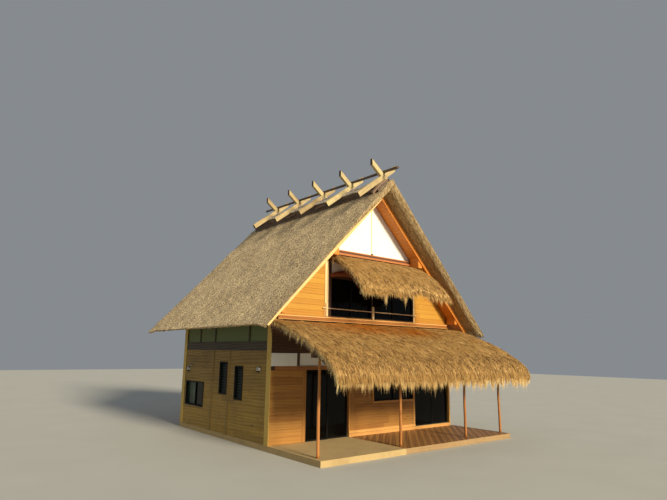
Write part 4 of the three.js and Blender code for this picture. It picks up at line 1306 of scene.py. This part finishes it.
@dataclass
class StrawRoof:
    """A sloping layer of loose straw with a hanging fringe: a closed core under thousands of straws.

    The top, the underside and the hem are broken lines: the first two in depth and level, the hem in x and level.
    The notch is the lip's raised place: its middle, half width, height and the level where it has faded out.
    Locks are places along the lip with the levels that a long tuft reaches there.
    """

    paint: Palette
    name: str
    left: float
    right: float
    top: Line
    under: Line
    hem: Line
    seed: int
    pieces: int = 3
    straw_count: int = 100000
    fringe_count: int = 9000
    edge_count: int = 1100
    wisps: tuple[float, ...] = (0.22, 0.45, 0.74, 0.93)
    hang: float = 0.11
    notch: tuple[float, float, float, float] = (0.0, 1.0, 0.0, 0.0)
    locks: Line = ()
    straw_length: Pair = (0.18, 0.36)
    jag: float = 0.10
    tuft: int = 7
    wisp: int = 14
    over: int = 56
    below: int = 22

    def raised(self, x: Array, z: Array) -> Array:
        """Gives how far the lip is drawn up in the notch, fading out half a metre above its foot."""
        centre, half, height, level = self.notch
        return height * np.exp(-((x - centre) / half) ** 4) * np.clip((level - z) / 0.5, 0, 1)

    def limit(self, points: Array) -> Array:
        """Gives (n, 3) points with the x of those near the wall held between the bargeboards' undersides."""
        points = points.copy()
        reach = soffit_reach(points[:, 2], BARGE_FOOT - 0.01)
        held = np.clip(points[:, 0], -reach, reach)
        points[:, 0] = np.where(points[:, 1] > FRONT - 0.52, held, points[:, 0])
        return points

    def surface(self, x: Array, share: Array) -> tuple[Array, Array, Array]:
        """Finds places on the top of the straw.

        Args:
            x: (n,) places along the wall.
            share: (n,) places down the slope, from 0 at the wall to 1 at the lip.

        Returns:
            Points, unit directions down the slope, and unit normals.
        """
        line = resample(np.array(self.top), 160, 30)
        where = np.linspace(0, 1, 160)
        y, z, dy, dz = (np.interp(share, where, column) for column in (*line.T, *np.gradient(line, axis=0).T))
        down = unit(np.stack([np.zeros_like(dy), dy, dz], 1))
        normal = np.stack([np.zeros_like(dy), down[:, 2], -down[:, 1]], 1)
        return np.stack([x, y + FRONT, z + self.raised(x, z)], 1), down, normal

    def core(self) -> None:
        """Builds the closed body under the straws: the section carried along x, with small waves."""
        top, under = resample(np.array(self.top), self.over, 6), resample(np.array(self.under), self.below, 3)
        section = np.concatenate([top, under])
        columns = int((self.right - self.left) / 0.075)
        x = np.linspace(self.left + 0.01, self.right - 0.01, columns)
        rings = np.zeros((columns, len(section), 3))
        rings[..., 0] = x[:, None]
        rings[..., 1:] = section + [FRONT, 0.0]
        from_end = np.minimum(x - x[0], x[-1] - x)
        thin = (0.78 * (1 - np.clip(from_end / 0.30, 0, 1)) ** 1.5)[:, None]
        places = np.linspace(1, 0, self.below), np.linspace(0, 1, self.over)
        for k, shift in ((0, FRONT), (1, 0.0)):
            rings[:, self.over:, 1 + k] = under[:, k] * (1 - thin) + np.interp(*places, top[:, k]) * thin + shift
        rings[..., 2] += self.raised(rings[..., 0], rings[..., 2])
        flat = self.limit(rings.reshape(-1, 3))
        is_top = np.tile(np.arange(len(section)) < self.over, columns)
        waves = 0.012 * ripple(flat, 0.7, self.seed) + 0.010 * ripple(flat, 0.16, self.seed + 1) - 0.022
        flat[:, 2] += np.where(is_top, waves, 0.004 * ripple(flat, 0.2, self.seed + 2))
        shape = Shape(self.seed)
        # The core is painted dark as shade under the straws, and lighter within 0.3 m of the wall, where few straws lie
        # over it.
        tones = 0.28 + 0.12 * ripple(flat, 0.05, self.seed + 3) + 0.3 * np.clip((flat[:, 1] - FRONT + 0.3) / 0.2, 0, 1)
        shape.loft(flat.reshape(rings.shape), tones)
        shape.grain = [np.stack([np.full(len(flat), 0.35), flat[:, 0], flat[:, 1]], 1)]
        shape.object(f"{self.name}_body", self.paint["golden_straw"], "straw_gold", smooth=True,
                     replaces=(f"{self.name}_thatch",))

    def thatch(self, low: float, high: float, seed: int) -> Shape:
        """Scatters straws over part of the slope, lying down it.

        Args:
            low: first share of the slope.
            high: last share of the slope.
            seed: picks the straws.

        Returns:
            The shape with the straws, shaded in thin streaks that run down the slope.
        """
        shape = Shape(seed)
        rng = shape.rng
        n = self.straw_count // self.pieces
        tufts = n // self.tuft
        member = np.arange(n) % tufts
        middle = rng.uniform(self.left, self.right, tufts)
        lean, long = rng.normal(0, 0.07, tufts), rng.uniform(*self.straw_length, tufts)
        lift, shade = rng.normal(0.05, 0.02, tufts), rng.normal(0, 0.16, tufts)
        x = np.clip(middle[member] + rng.normal(0, 0.013, n), self.left, self.right)
        share = np.clip(rng.uniform(low, high, tufts)[member] + rng.normal(0, 0.008, n), 0, high)
        root, down, normal = self.surface(x, share)
        length = long[member] * rng.uniform(0.7, 1.0, n)
        swing = lean[member] + 0.08 * ripple(root, 0.45, seed + 1) + rng.normal(0, 0.04, n)
        way = down + swing[:, None] * [1.0, 0, 0]
        droop = (0.7 * np.clip((share - 0.6) / 0.4, 0, 1) * rng.uniform(0.2, 1, tufts)[member])[:, None]
        way = unit(way * (1 - droop) - droop * [0.0, 0.0, 1.0])
        root = root + normal * (rng.uniform(-0.028, -0.004, n)[:, None] + 0.05 * droop)
        tip = root + way * length[:, None] + normal * (lift[member] * length + 0.006)[:, None] - [0, 0, 0.006]
        tip[:, 0] += (middle[member] - x) * 0.75
        streaks = ripple(root * [1.0, 0.18, 0.18], 0.06, seed + 3)
        tone = np.clip(0.50 + 0.07 * streaks + shade[member] + rng.normal(0, 0.12, n), 0, 1)
        spikes(shape, self.limit(root), self.limit(tip), rng.uniform(0.005, 0.012, n), normal, tone)
        return shape

    def fringe(self, shape: Shape, seed: int) -> None:
        """Hangs the ragged fringe from the lip.

        Args:
            shape: where the stalks go.
            seed: picks the stalks. They hang in small tufts whose tips meet. Each tuft belongs to the nearest
                point of the hem and ends at its level, which follows the hem line, higher by the distance from it.
        """
        rng = np.random.default_rng(seed)
        n = self.fringe_count
        centres = self.left + np.cumsum(rng.uniform(0.12, 0.32, int((self.right - self.left) / 0.22) + 4))
        centres = centres[centres < self.right + 0.1]
        levels = np.interp(centres, *np.array(self.hem).T) + rng.uniform(-self.jag, self.jag * 0.7, len(centres))
        tufts = n // self.tuft
        member = np.arange(n) % tufts
        middle_x = rng.uniform(self.left, self.right, tufts)
        nearest = np.abs(middle_x[:, None] - centres[None]).argmin(1)
        gap = centres[nearest] - middle_x
        level = levels[nearest] + 0.2 * np.abs(gap) + rng.exponential(0.06, tufts)
        for place, foot in self.locks:
            close = np.abs(middle_x - place) < 0.042
            gap[close] = 0.8 * (place - middle_x[close])
            level[close] = foot + rng.exponential(0.05, close.sum())
        shade = rng.normal(0, 0.17, tufts)
        x = np.clip(middle_x[member] + rng.normal(0, 0.018, n), self.left, self.right)
        from_lip = (self.hang * rng.uniform(0, 1, tufts) ** 1.2)[member] + rng.uniform(0, 0.02, n)
        root, _, normal = self.surface(x, 1 - from_lip)
        deep = rng.uniform(0.0, 1.0, tufts)[member]
        root = root + normal * (0.012 - 0.09 * deep + rng.normal(0, 0.006, n))[:, None]
        lip = self.surface(x, np.full(n, 0.95))[0] - [0.0, 0.012, 0.0] * (1 - deep[:, None] * 3)
        foot = level[member] - np.where(rng.uniform(size=n) < 0.12, rng.uniform(0.02, 0.20, n), 0)
        drop = np.maximum(lip[:, 2] - foot, 0.05) * rng.uniform(0.60, 1.0, n)
        swing = (gap * 0.4)[member] + (middle_x[member] - x) * 0.2 + rng.normal(0, 0.012, n)
        tip = lip + np.stack([swing, rng.normal(-0.01, 0.01, n), -drop], 1)
        over = np.clip((from_lip - 0.05) / 0.04, 0, 1)[:, None]
        middle = root + (lip - root) * over + (tip - root) * (1 - over) * 0.5
        # Deeper stalks are darker, as painted shade among the fringe's stalks.
        tone = np.clip(0.80 - 0.42 * deep + shade[member] + rng.normal(0, 0.12, n), 0, 1)
        stalks(shape, root, middle, tip, rng.uniform(0.006, 0.014, n), normal, tone)
        for end, sign in ((self.left, -1.0), (self.right, 1.0)):
            self.edge(shape, end, sign, rng, seed)

    def edge(self, shape: Shape, end: float, sign: float, rng: Random, seed: int) -> None:
        """Hangs short stalks over one end, and a few long pale wisps.

        Args:
            shape: where the stalks go.
            end: the end's place along the wall.
            sign: its outward direction.
            rng: random numbers.
            seed: picks the waves of their lengths.
        """
        few = self.wisp * len(self.wisps)
        n = self.edge_count + few
        share = rng.uniform(0.03, 0.99, n)
        length = rng.uniform(0.08, 0.22, n)
        # The end stalks and wisps are made pale as painted light, for sunlight through them, though the end lies in
        # shade.
        tone = np.clip(rng.normal(0.90, 0.20, n), 0, 1)
        share[:few] = np.repeat(self.wisps, self.wisp) + rng.normal(0, 0.03, few)
        length[:few] = rng.uniform(0.10, 0.32, few)
        tone[:few] = 1.0
        x = np.full(n, end) - sign * rng.uniform(-0.004, 0.06, n)
        root, down, normal = self.surface(x, np.clip(share, 0.02, 1))
        root = root - normal * rng.uniform(-0.004, 0.05, n)[:, None]
        length = (length * (0.7 + 0.5 * np.abs(ripple(root, 0.3, seed + 4))))[:, None]
        fall = np.array([0.0, 0.0, 1.0]) * length
        middle = root + down * length * 0.3 + [sign * 0.010, 0, 0] - fall * 0.25
        tip = middle - fall * 0.6 + rng.normal(0, 0.10, (n, 3)) * length
        stalks(shape, self.limit(root), self.limit(middle), self.limit(tip), rng.uniform(0.005, 0.011, n), normal, tone)

    def build(self) -> None:
        """Builds the core, the straws in pieces down the slope, and the fringe."""
        self.core()
        straw = self.paint["golden_straw"]
        edges = np.linspace(0.0, 0.97, self.pieces + 1)
        for i in range(self.pieces):
            shape = self.thatch(edges[i], edges[i + 1], self.seed + 10 * i + 5)
            shape.object(f"{self.name}_straw_{i + 1}", straw, "straw_gold")
        shape = Shape(self.seed + 90)
        self.fringe(shape, self.seed + 77)
        shape.object(f"{self.name}_fringe", straw, "straw_gold")


@dataclass
class Ridge:
    """The ridge: layered bark with bamboo over it, five crossed pairs and the long pole."""

    paint: Palette
    first: float = -0.6
    pitch: float = 1.645
    thickness: float = 0.115
    depth: float = 0.17
    slope: float = 0.765
    leg: float = 1.07
    horn: float = 0.535
    level: float = 8.42
    seat: float = 0.00045
    cut: float = 0.006
    cap_front: float = -0.8
    cap_rear: float = 7.15
    saddle: float = 8.2905
    pole_front: float = -1.25
    pole_rear: float = 6.95

    def lift(self, back: Array | float) -> Array | float:
        """Gives how far the ridge has risen at a depth."""
        return -0.035 + 0.0235 * (back - self.first)

    def pairs(self) -> None:
        """Builds each crossed pair: two sawn timbers halved into each other, with dark cut ends."""
        length = math.hypot(1.0, self.slope)
        shift = self.depth * self.slope / length
        for i in range(5):
            back = self.first + i * self.pitch
            face, far = back + FRONT, back + FRONT + self.thickness
            base = self.level + self.seat + self.lift(back + self.thickness)
            foot, head = base - self.slope * self.leg, base + self.slope * self.horn
            shape, ends = Shape(71 + i), Shape(81 + i)
            for side, inset in ((-1, 0.0025), (1, 0.001)):
                outline = np.array([
                    [side * self.leg, foot], [side * (self.leg + shift), foot + self.depth / length],
                    [-side * self.horn, head + self.depth * length], [-side * self.horn, head]])
                self.timber(shape, outline, face + inset, far - inset)
                for (a, b), reach in ((outline[:2], side), (outline[2:], -side)):
                    edge = b - a
                    out = unit(np.array([reach, -reach * edge[0] / edge[1]])) * 0.0015
                    a, b = a * 0.98 + (a + b) * 0.01, b * 0.98 + (a + b) * 0.01
                    ends.bar(np.array([a - out, b - out, b + out, a + out]), Axis.Y, face + 0.006, far - 0.006)
            shape.object(f"crossed_timbers_{i + 1}", self.paint["peeled_timber"], "cream_timber",
                         replaces=(f"ridge_pair_{i + 1}",))
            ends.object(f"crossed_ends_{i + 1}", self.paint["cut_ends"], "dark_timber")

    def timber(self, shape: Shape, outline: Array, low: float, high: float) -> None:
        """Adds a sawn timber from its four-cornered outline, with its edges cut off.

        Args:
            shape: where it goes.
            outline: (4, 2) corners in x and z, the two of each end together.
            low: its front face.
            high: its rear face.
        """
        cut = self.cut
        share = np.linspace(0, 1, 9)[:, None, None]
        flat = outline[:2][None] * (1 - share) + outline[2:][::-1][None] * share
        up = unit(flat[:, 1] - flat[:, 0])
        ring = [(1, -cut, low), (1, 0.0, low + cut), (0, 0.0, low + cut), (0, cut, low)]
        ring += [(corner, offset, low + high - y) for corner, offset, y in ring[::-1]]
        places = [(flat[:, corner] + up * offset, y) for corner, offset, y in ring]
        shape.loft(np.stack([np.stack([place[:, 0], np.full(9, y), place[:, 1]], 1) for place, y in places], 1))

    def cap(self) -> None:
        """Builds the bark saddle: overlapping layers of bark strips on each slope, and a closed core."""
        paint = self.paint
        rng = np.random.default_rng(91)
        core = Shape(90)
        back = np.linspace(self.cap_front + 0.03, self.cap_rear - 0.03, 60)
        x = np.array([0.0, 0.48, 0.42, 0.0, -0.42, -0.48])
        top = self.level - 0.03 - self.slope * np.abs(x)
        foot = self.saddle - THATCH_SLOPE * np.abs(x)
        rings = np.zeros((60, 6, 3))
        rings[..., 0] = x
        rings[..., 1] = back[:, None] + FRONT
        rings[..., 2] = np.where([1, 1, 0, 0, 0, 1], top + self.lift(back)[:, None], foot)
        core.loft(rings)
        core.object("ridge_body", paint["cedar_bark"], "bark", replaces=("ridge_cap",))

        bark = Shape(92)
        for inner, outer, drop in ((0.24, 0.50, 0.030), (0.12, 0.40, 0.014), (0.0, 0.28, 0.0)):
            for side in (-1, 1):
                near = self.cap_front
                while near < self.cap_rear - 0.05:
                    far = min(near + rng.uniform(0.16, 0.34), self.cap_rear)
                    reach = outer + rng.uniform(-0.035, 0.02)
                    self.strip(bark, side, inner, reach, near + 0.003, far - 0.003,
                               drop + rng.uniform(-0.004, 0.004), 0.014, rng)
                    near = far
        bark.object("ridge_bark", paint["cedar_bark"], "bark")

        edges = Shape(96)
        for side in (-1, 1):
            for k, outer in enumerate((0.67, 0.63, 0.56, 0.47)):
                near = self.cap_front - 0.012 + 0.085 * k
                self.strip(edges, side, 0.02, outer + rng.uniform(-0.02, 0.02), near, near + 0.062, -0.012, 0.024, rng)
        edges.object("ridge_bark_edges", paint["bark_edges"], "bark")

        bamboo = Shape(93)
        for reach, radius in ((0.09, 0.028), (0.27, 0.032), (0.46, 0.036)):
            for side in (-1, 1):
                self.cane(bamboo, side * reach, radius, rng)
        bamboo.object("ridge_bamboo", paint["old_bamboo"], "dark_timber", smooth=True)

    def strip(self, shape: Shape, side: int, inner: float, outer: float, near: float, far: float,
              drop: float, thick: float, rng: Random) -> None:
        """Adds one curled strip of bark down the saddle's slope.

        Args:
            shape: where it goes.
            side: -1 on the left slope, 1 on the right.
            inner: where it starts from the ridge line.
            outer: where it ends.
            near: its front edge.
            far: its rear edge.
            drop: depth under the saddle's top.
            thick: its thickness.
            rng: random numbers for the curl.
        """
        share = np.linspace(0, 1, 5)
        x = inner + (outer - inner) * share
        curl = rng.uniform(-0.13, -0.09) * share ** 3 * outer / 0.62
        z = (self.level - drop - self.slope * x + curl)[:, None]
        rings = np.zeros((5, 4, 3))
        rings[:, :, 0] = side * x[:, None]
        rings[:, :, 1] = np.array([near, far, far, near]) + FRONT
        rings[:, :, 2] = np.hstack([z, z, z - thick, z - thick]) + self.lift((near + far) / 2)
        shape.loft(rings)

    def cane(self, shape: Shape, x: float, radius: float, rng: Random) -> None:
        """Adds a bamboo cane along the saddle, thicker at its joints.

        Args:
            shape: where it goes.
            x: its place across the ridge.
            radius: its radius.
            rng: random numbers for its bends.
        """
        start = self.cap_front + 0.36 + rng.uniform(-0.02, 0.02)
        back = np.linspace(start, self.cap_rear + rng.uniform(-0.05, 0.02), 150)
        phase = rng.uniform(0, 1)
        knot = np.exp(-((np.mod(back / 0.33 + phase, 1.0) - 0.5) / 0.035) ** 2)
        z = self.level - self.slope * abs(x) + self.lift(back) + radius * 0.75 + 0.006
        path = np.stack([np.full(150, x), back + FRONT, z], 1)
        path += 0.004 * np.stack([ripple(path, 1.1, int(phase * 999) + k) for k in range(3)], 1) * [1, 0, 1]
        shape.tube(path, radius * (1 + 0.13 * knot), 8)

    def pole(self) -> None:
        """Builds the long pole in the forks, slightly bent, with a rough bark."""
        length = math.hypot(1.0, self.slope)
        back = np.linspace(self.pole_front, self.pole_rear, 110)
        base = self.level + self.seat + self.depth * length + 0.0485 * length
        path = np.stack([0.004 * np.sin(back * 1.3), back + FRONT, base + self.lift(back + self.thickness)], 1)
        radius = 0.0475 - 0.004 * (back - back[0]) / (back[-1] - back[0]) + 0.0015 * ripple(path, 0.3, 95)
        shape = Shape(94)
        shape.tube(path, radius, 12)
        shape.object("long_pole", self.paint["ridge_pole_bark"], "dark_timber", smooth=True, replaces=("ridge_pole",))

    def build(self) -> None:
        """Builds the whole ridge."""
        self.cap()
        self.pairs()
        self.pole()


@dataclass
class RoofBoards:
    """Boards under the thatch and the ends of the purlins."""

    paint: Palette
    pitch: float = 0.17
    width: float = 0.166
    last: float = 4.29

    def build(self) -> None:
        """Builds the soffit boards and the purlin ends, in front of the gable and behind the rear."""
        soffit = Shape(101)
        face, back, edge = FRONT + BARGE_BACK, FRONT + DEPTH, FRONT + REAR_EDGE
        drop = np.array([0.0005, 0.0005, 0.009, 0.009]) * BOARD_LENGTH
        for side in (-1, 1):
            for x0 in np.arange(0.02, 4.25, self.pitch):
                x1 = min(x0 + self.width, self.last)
                xs = np.array([x0, x1, x1, x0])
                profile = np.stack([side * xs, SOFFIT - BOARD_SLOPE * xs - drop], 1)
                for span in ((face + 0.002, FRONT - 0.0445), (back + 0.003, edge)):
                    soffit.bar(profile, Axis.Y, *span)
        soffit.object("soffit_boards", self.paint["soffit_boards"], "cedar_boards")

        purlins = Shape(102)
        rear = (back + 0.004, edge - 0.001)
        for upper, lower in (((face + 0.003, FRONT - 0.042), (face + 0.003, FRONT - 0.083)), (rear, rear)):
            for side in (-1, 1):
                for x0, x1, low, span in ((1.79, 1.98, 5.60, upper), (3.69, 3.81, 3.72, lower)):
                    inner, outer = (SOFFIT - 0.012 - BOARD_SLOPE * x for x in (x0, x1))
                    outline = np.array([[x0, low], [x1, low], [x1, max(outer, low + 0.004)], [x0, inner]])
                    purlins.bar(outline * [side, 1], Axis.Y, *span)
        purlins.object("purlin_ends", self.paint["soffit_boards"], "cedar_boards")


@dataclass
class Veranda:
    """Deck boards on joists with a pale fascia, bent round posts and the bamboo rail of the loft."""

    paint: Palette
    left: float = -0.925
    right: float = 3.945
    front: float = -2.34
    board: float = 0.035
    width: float = 0.1
    top: float = 0.15
    post_back: float = -2.02
    post_places: tuple[float, ...] = (-3.665, -0.805, 2.065, 3.890)
    post_levels: Pair = (0.1503, 2.5197)
    rail_back: float = -0.032
    rail_ends: Pair = (-2.07, 2.09)

    def deck(self) -> None:
        """Builds the deck: boards laid diagonally, joists under them and the fascia in front."""
        shape = Shape(111)
        edge = FRONT + self.front
        x0, x1, y0, y1 = self.left + 0.001, self.right - 0.001, edge + 0.028, FRONT - 0.001
        whole = np.array([[x0, y0], [x1, y0], [x1, y1], [x0, y1]])
        along, across = np.array([[1.0, 1.0], [-1.0, 1.0]]) / math.sqrt(2)
        turned = np.array([[*along, 0], [*across, 0], [0, 0, 1]]).T
        first, last = (whole @ across).min(), (whole @ across).max()
        for k, low in enumerate(np.arange(first, last - 0.02, self.width)):
            outline = clipped(clipped(whole, across, low + self.width - 0.005), -across, -low)
            tone = 0.2 + 0.5 * (k % 2) + shape.rng.uniform(-0.15, 0.15)
            shape.bar(outline, Axis.Z, self.top - self.board, self.top, tone)
            shape.grain[-1] = shape.points[-1] @ turned + shape.shift(3)
        shape.boxes([(self.left + 0.002, self.right - 0.002, y, y + 0.045, 0.001, self.top - self.board - 0.0005)
                     for y in np.linspace(y0 + 0.002, y1 - 0.05, 5)], 0.003, Axis.X)
        shape.object("deck_planks", self.paint["deck_boards"], "deck_timber", replaces=("veranda_deck",))
        planks("deck_fascia", 112, [(self.left, self.right, edge, edge + 0.027, 0.002, self.top),
                                    (self.right - 0.001, self.right + 0.016, edge, y1, 0.002, self.top)],
               self.paint["deck_fascia"], "deck_timber", 0.004)

    def posts(self) -> None:
        """Builds the four posts as slightly crooked peeled poles."""
        z = np.linspace(*self.post_levels, 26)
        share = (z - z[0]) / (z[-1] - z[0])
        for i, x in enumerate(self.post_places):
            path = np.stack([np.full(26, x), np.full(26, FRONT + self.post_back), z], 1)
            rough = np.stack([ripple(path, 1.4, 120 + i), ripple(path, 1.4, 130 + i), np.zeros(26)], 1)
            path = path + np.sin(math.pi * share)[:, None] * 0.004 * rough
            shape = Shape(113 + i)
            shape.tube(path, 0.041 - 0.006 * share + 0.0012 * ripple(path, 0.25, 140 + i), 14)
            shape.object(f"round_post_{i + 1}", self.paint["veranda_posts"], "cream_timber", smooth=True,
                         replaces=(f"veranda_post_{i + 1}",))

    def rail(self) -> None:
        """Builds the loft rail: a bamboo cane with joints on two stout uprights."""
        shape = Shape(118)
        x = np.linspace(*self.rail_ends, 170)
        knot = np.exp(-((np.mod(x / 0.36, 1.0) - 0.5) / 0.03) ** 2)
        path = np.stack([x, np.full(170, FRONT + self.rail_back), 3.972 - 0.0045 * (x + 2.07) + 0.012], 1)
        shape.tube(path, 0.0175 * (1 + 0.12 * knot), 10)
        shape.object("bamboo_rail", self.paint["rail_bamboo"], "cream_timber", smooth=True, replaces=("loft_rail",))
        uprights = Shape(119)
        z = np.linspace(3.7205, 4.15, 14)
        radius = np.full(14, 0.043) + 0.001 * np.sin(z * 40)
        radius[-1] = 0.036
        for place in (-1.92, 0.005):
            path = np.stack([np.full(14, place), np.full(14, FRONT + self.rail_back), z], 1)
            uprights.tube(path, radius, 14)
        uprights.object("rail_uprights", self.paint["peeled_uprights"], "cream_timber", smooth=True)

    def build(self) -> None:
        """Builds the deck, the posts and the rail."""
        self.deck()
        self.posts()
        self.rail()


@dataclass
class Vents:
    """Round hooded vents of pressed metal on the left wall.

    The hooded ones and the cover are given as depth, height and radius. A vent's outline is given in steps, each by
    how far it stands out of the wall, inwards being positive, and by its share of the radius.
    """

    paint: Palette
    hooded: tuple[Triple, ...] = ((5.45, 2.02, 0.085), (0.62, 2.15, 0.075))
    cover: Triple = (5.23, 2.14, 0.035)
    steps: Line = ((0.0, 1.12), (-0.006, 1.12), (-0.009, 1.0), (-0.03, 0.98), (-0.055, 0.86), (-0.07, 0.62),
                    (-0.076, 0.3), (-0.077, 0.05))

    def hood(self, shape: Shape, back: float, z: float, radius: float) -> None:
        """Adds one vent: a circle carried outwards in steps, first its flange, then its bulging hood.

        Args:
            shape: where it goes.
            back: its depth along the wall.
            z: its middle.
            radius: the hood's radius.
        """
        wall = -HALF_WIDTH + 0.004
        angle = np.linspace(0, 2 * math.pi, 28, endpoint=False)
        circle = np.stack([np.zeros(28), np.cos(angle), np.sin(angle)], 1)
        rings = np.stack([circle * radius * size + [wall + out, back + FRONT, z] for out, size in self.steps])
        rings[3:, :, 2] += 0.012
        shape.loft(rings)

    def build(self) -> None:
        """Builds the vents, with dark boxes as painted shade in their mouths, and a small lamp-like cover beside one of
        them.
        """
        shape = Shape(131)
        for vent in (*self.hooded, self.cover):
            self.hood(shape, *vent)
        shape.object("wall_vents", self.paint["vent_metal"], "black_frame", smooth=True)
        # Dark boxes under the hoods: painted shade in the vents' mouths.
        mouth = Shape(132)
        for back, z, radius in self.hooded:
            mouth.boxes([(-HALF_WIDTH - 0.06, -HALF_WIDTH + 0.002, back + FRONT - radius * 0.7,
                          back + FRONT + radius * 0.7, z - radius - 0.004, z - radius * 0.55)], 0.004)
        mouth.object("vent_mouths", self.paint["black_frames"], "black_frame")


SHOWN_NODES = {
    "pale_concrete": ("ground_floor", "entrance_slab"),
    "lime_plaster": ("front_frieze", "front_gable_plaster", "rear_gable_plaster"),
    "side_plaster": ("left_frieze", "right_frieze"),
    "sill_timber": ("loft_sill_board",),
    "corner_posts": ("left_frame", "right_frame"),
    "beam_timber": ("door_lintel", "front_wall_left", "front_wall_middle", "left_wall", "right_wall",
                    "front_loft_wall", "rear_wall", "rear_loft_wall", "loft_floor"),
    "stained_beam": ("gable_beam", "rear_beam", "front_upper_boards"),
    "rafter_timber": ("lean_to_frame", "hood_frame"),
    "roof_planks": ("roof_boards_left", "roof_boards_right"),
    "barge_boards": ("bargeboard_front_left", "bargeboard_rear_right"),
    "barge_boards_deep": ("bargeboard_front_right", "bargeboard_rear_left"),
}


def dress_nodes(paint: Palette) -> None:
    """Gives each node that still shows its finish."""
    for finish, nodes in SHOWN_NODES.items():
        for name in nodes:
            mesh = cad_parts[name].data
            mesh.materials.clear()
            mesh.materials.append(paint[finish])


@dataclass(frozen=True)
class Studio:
    """The photograph's viewpoint, a pale floor, a soft sun-like key and a pale surround."""

    paint: Palette
    place: Triple = (-11.623, -14.69585, 2.654)
    yaw: float = 38.58
    pitch: float = 11.26
    roll: float = 0.83
    lens: float = 27.80
    sensor: float = 36.0
    to_sun: Triple = (0.0, -0.93, 0.36)
    sun: float = 5.2
    sun_width: float = 14.0
    sun_colour: Rgb = (1.0, 0.88, 0.68)
    sky: float = 0.30
    sky_colour: Colour = (0.80, 0.86, 0.93, 1.0)
    floor_half: float = 60.0

    def camera(self) -> None:
        """Places the camera: looking along its yaw and pitch, then rolled about its line of sight."""
        yaw, pitch, roll = (math.radians(a) for a in (self.yaw, self.pitch, self.roll))
        ahead = Vector((math.sin(yaw) * math.cos(pitch), math.cos(yaw) * math.cos(pitch), math.sin(pitch)))
        right = Vector((math.cos(yaw), -math.sin(yaw), 0.0))
        up = right.cross(ahead)
        turned_right = right * math.cos(roll) + up * math.sin(roll)
        turned_up = up * math.cos(roll) - right * math.sin(roll)
        matrix = Matrix((turned_right, turned_up, -ahead)).transposed().to_4x4()
        matrix.translation = Vector(self.place)
        data = bpy.data.cameras.new("camera")
        data.lens, data.sensor_width = self.lens, self.sensor
        camera = link("camera", data)
        camera.matrix_world = matrix
        bpy.context.scene.camera = camera

    def lights(self) -> None:
        """Adds the key and the surround."""
        sun = bpy.data.lights.new("key", "SUN")
        sun.energy, sun.angle, sun.color = self.sun, math.radians(self.sun_width), self.sun_colour
        link("key", sun).rotation_euler = Vector(self.to_sun).to_track_quat("Z", "Y").to_euler()
        world = bpy.data.worlds.new("surround")
        world.use_nodes = True
        Nodes(world.node_tree).feed(world.node_tree.nodes["Background"], {0: self.sky_colour, 1: self.sky})
        bpy.context.scene.world = world

    def floor(self) -> None:
        """Lays the pale floor."""
        mesh = bpy.data.meshes.new("floor")
        corners = [(x * self.floor_half, y * self.floor_half, 0) for x, y in ((-1, -1), (1, -1), (1, 1), (-1, 1))]
        mesh.from_pydata(corners, [], [(0, 1, 2, 3)])
        mesh.materials.append(self.paint["floor_paper"])
        floor = link("floor", mesh)

    def build(self) -> None:
        """Sets the camera, the lights and the floor."""
        self.camera()
        self.lights()
        self.floor()
        bpy.context.scene.view_settings.view_transform = "Standard"


LEAN_TO = dict(
    top=((0.0, 3.555), (-0.65, 3.435), (-1.33, 3.20), (-2.13, 2.865), (-2.85, 2.458), (-3.09, 2.22), (-3.16, 2.04),
         (-3.13, 1.98)),
    under=((-3.05, 1.98), (-2.93, 2.16), (-2.69, 2.385), (-2.13, 2.682), (-1.33, 3.018), (-0.65, 3.258),
           (-0.002, 3.392)),
    hem=((-3.975, 1.84), (-3.0, 1.80), (-2.0, 1.75), (0.0, 1.70), (2.0, 1.65), (3.975, 1.62)),
    left=-3.975, right=3.975, seed=201)
HOOD = dict(
    top=((0.0, 5.695), (-0.25, 5.617), (-0.6, 5.417), (-1.1, 5.066), (-1.52, 4.63), (-1.64, 4.42)),
    under=((-1.58, 4.41), (-1.44, 4.55), (-1.05, 4.968), (-0.6, 5.308), (-0.25, 5.498), (-0.002, 5.575)),
    hem=((-1.87, 4.33), (-1.4, 4.36), (-0.6, 4.29), (-0.3, 4.32), (0.3, 4.43), (0.9, 4.43), (1.2, 4.30), (2.02, 4.25)),
    left=-1.87, right=2.02, seed=301, pieces=1, straw_count=30000, fringe_count=5000, edge_count=500,
    wisps=(0.5, 0.9), hang=0.2, notch=(0.62, 0.42, 0.12, 4.9), locks=((-0.92, 3.99), (-0.08, 4.08), (-1.7, 4.26)))


def main() -> None:
    """Builds the finishes and every sub-assembly in order."""
    logging.basicConfig(level=logging.INFO, format="%(name)s %(message)s")
    effects = Effects()
    paint = {finish.name: finish.build(effects) for finish in FINISHES}
    Studio(paint).build()
    dress_nodes(paint)
    for kind in (Walls, Glazing, RoofBoards, MainThatch):
        kind(paint).build()
    StrawRoof(paint, "lean_to", **LEAN_TO).build()
    StrawRoof(paint, "hood", **HOOD).build()
    for kind in (Ridge, Veranda, Vents):
        kind(paint).build()


if __name__ == "__main__":
    main()
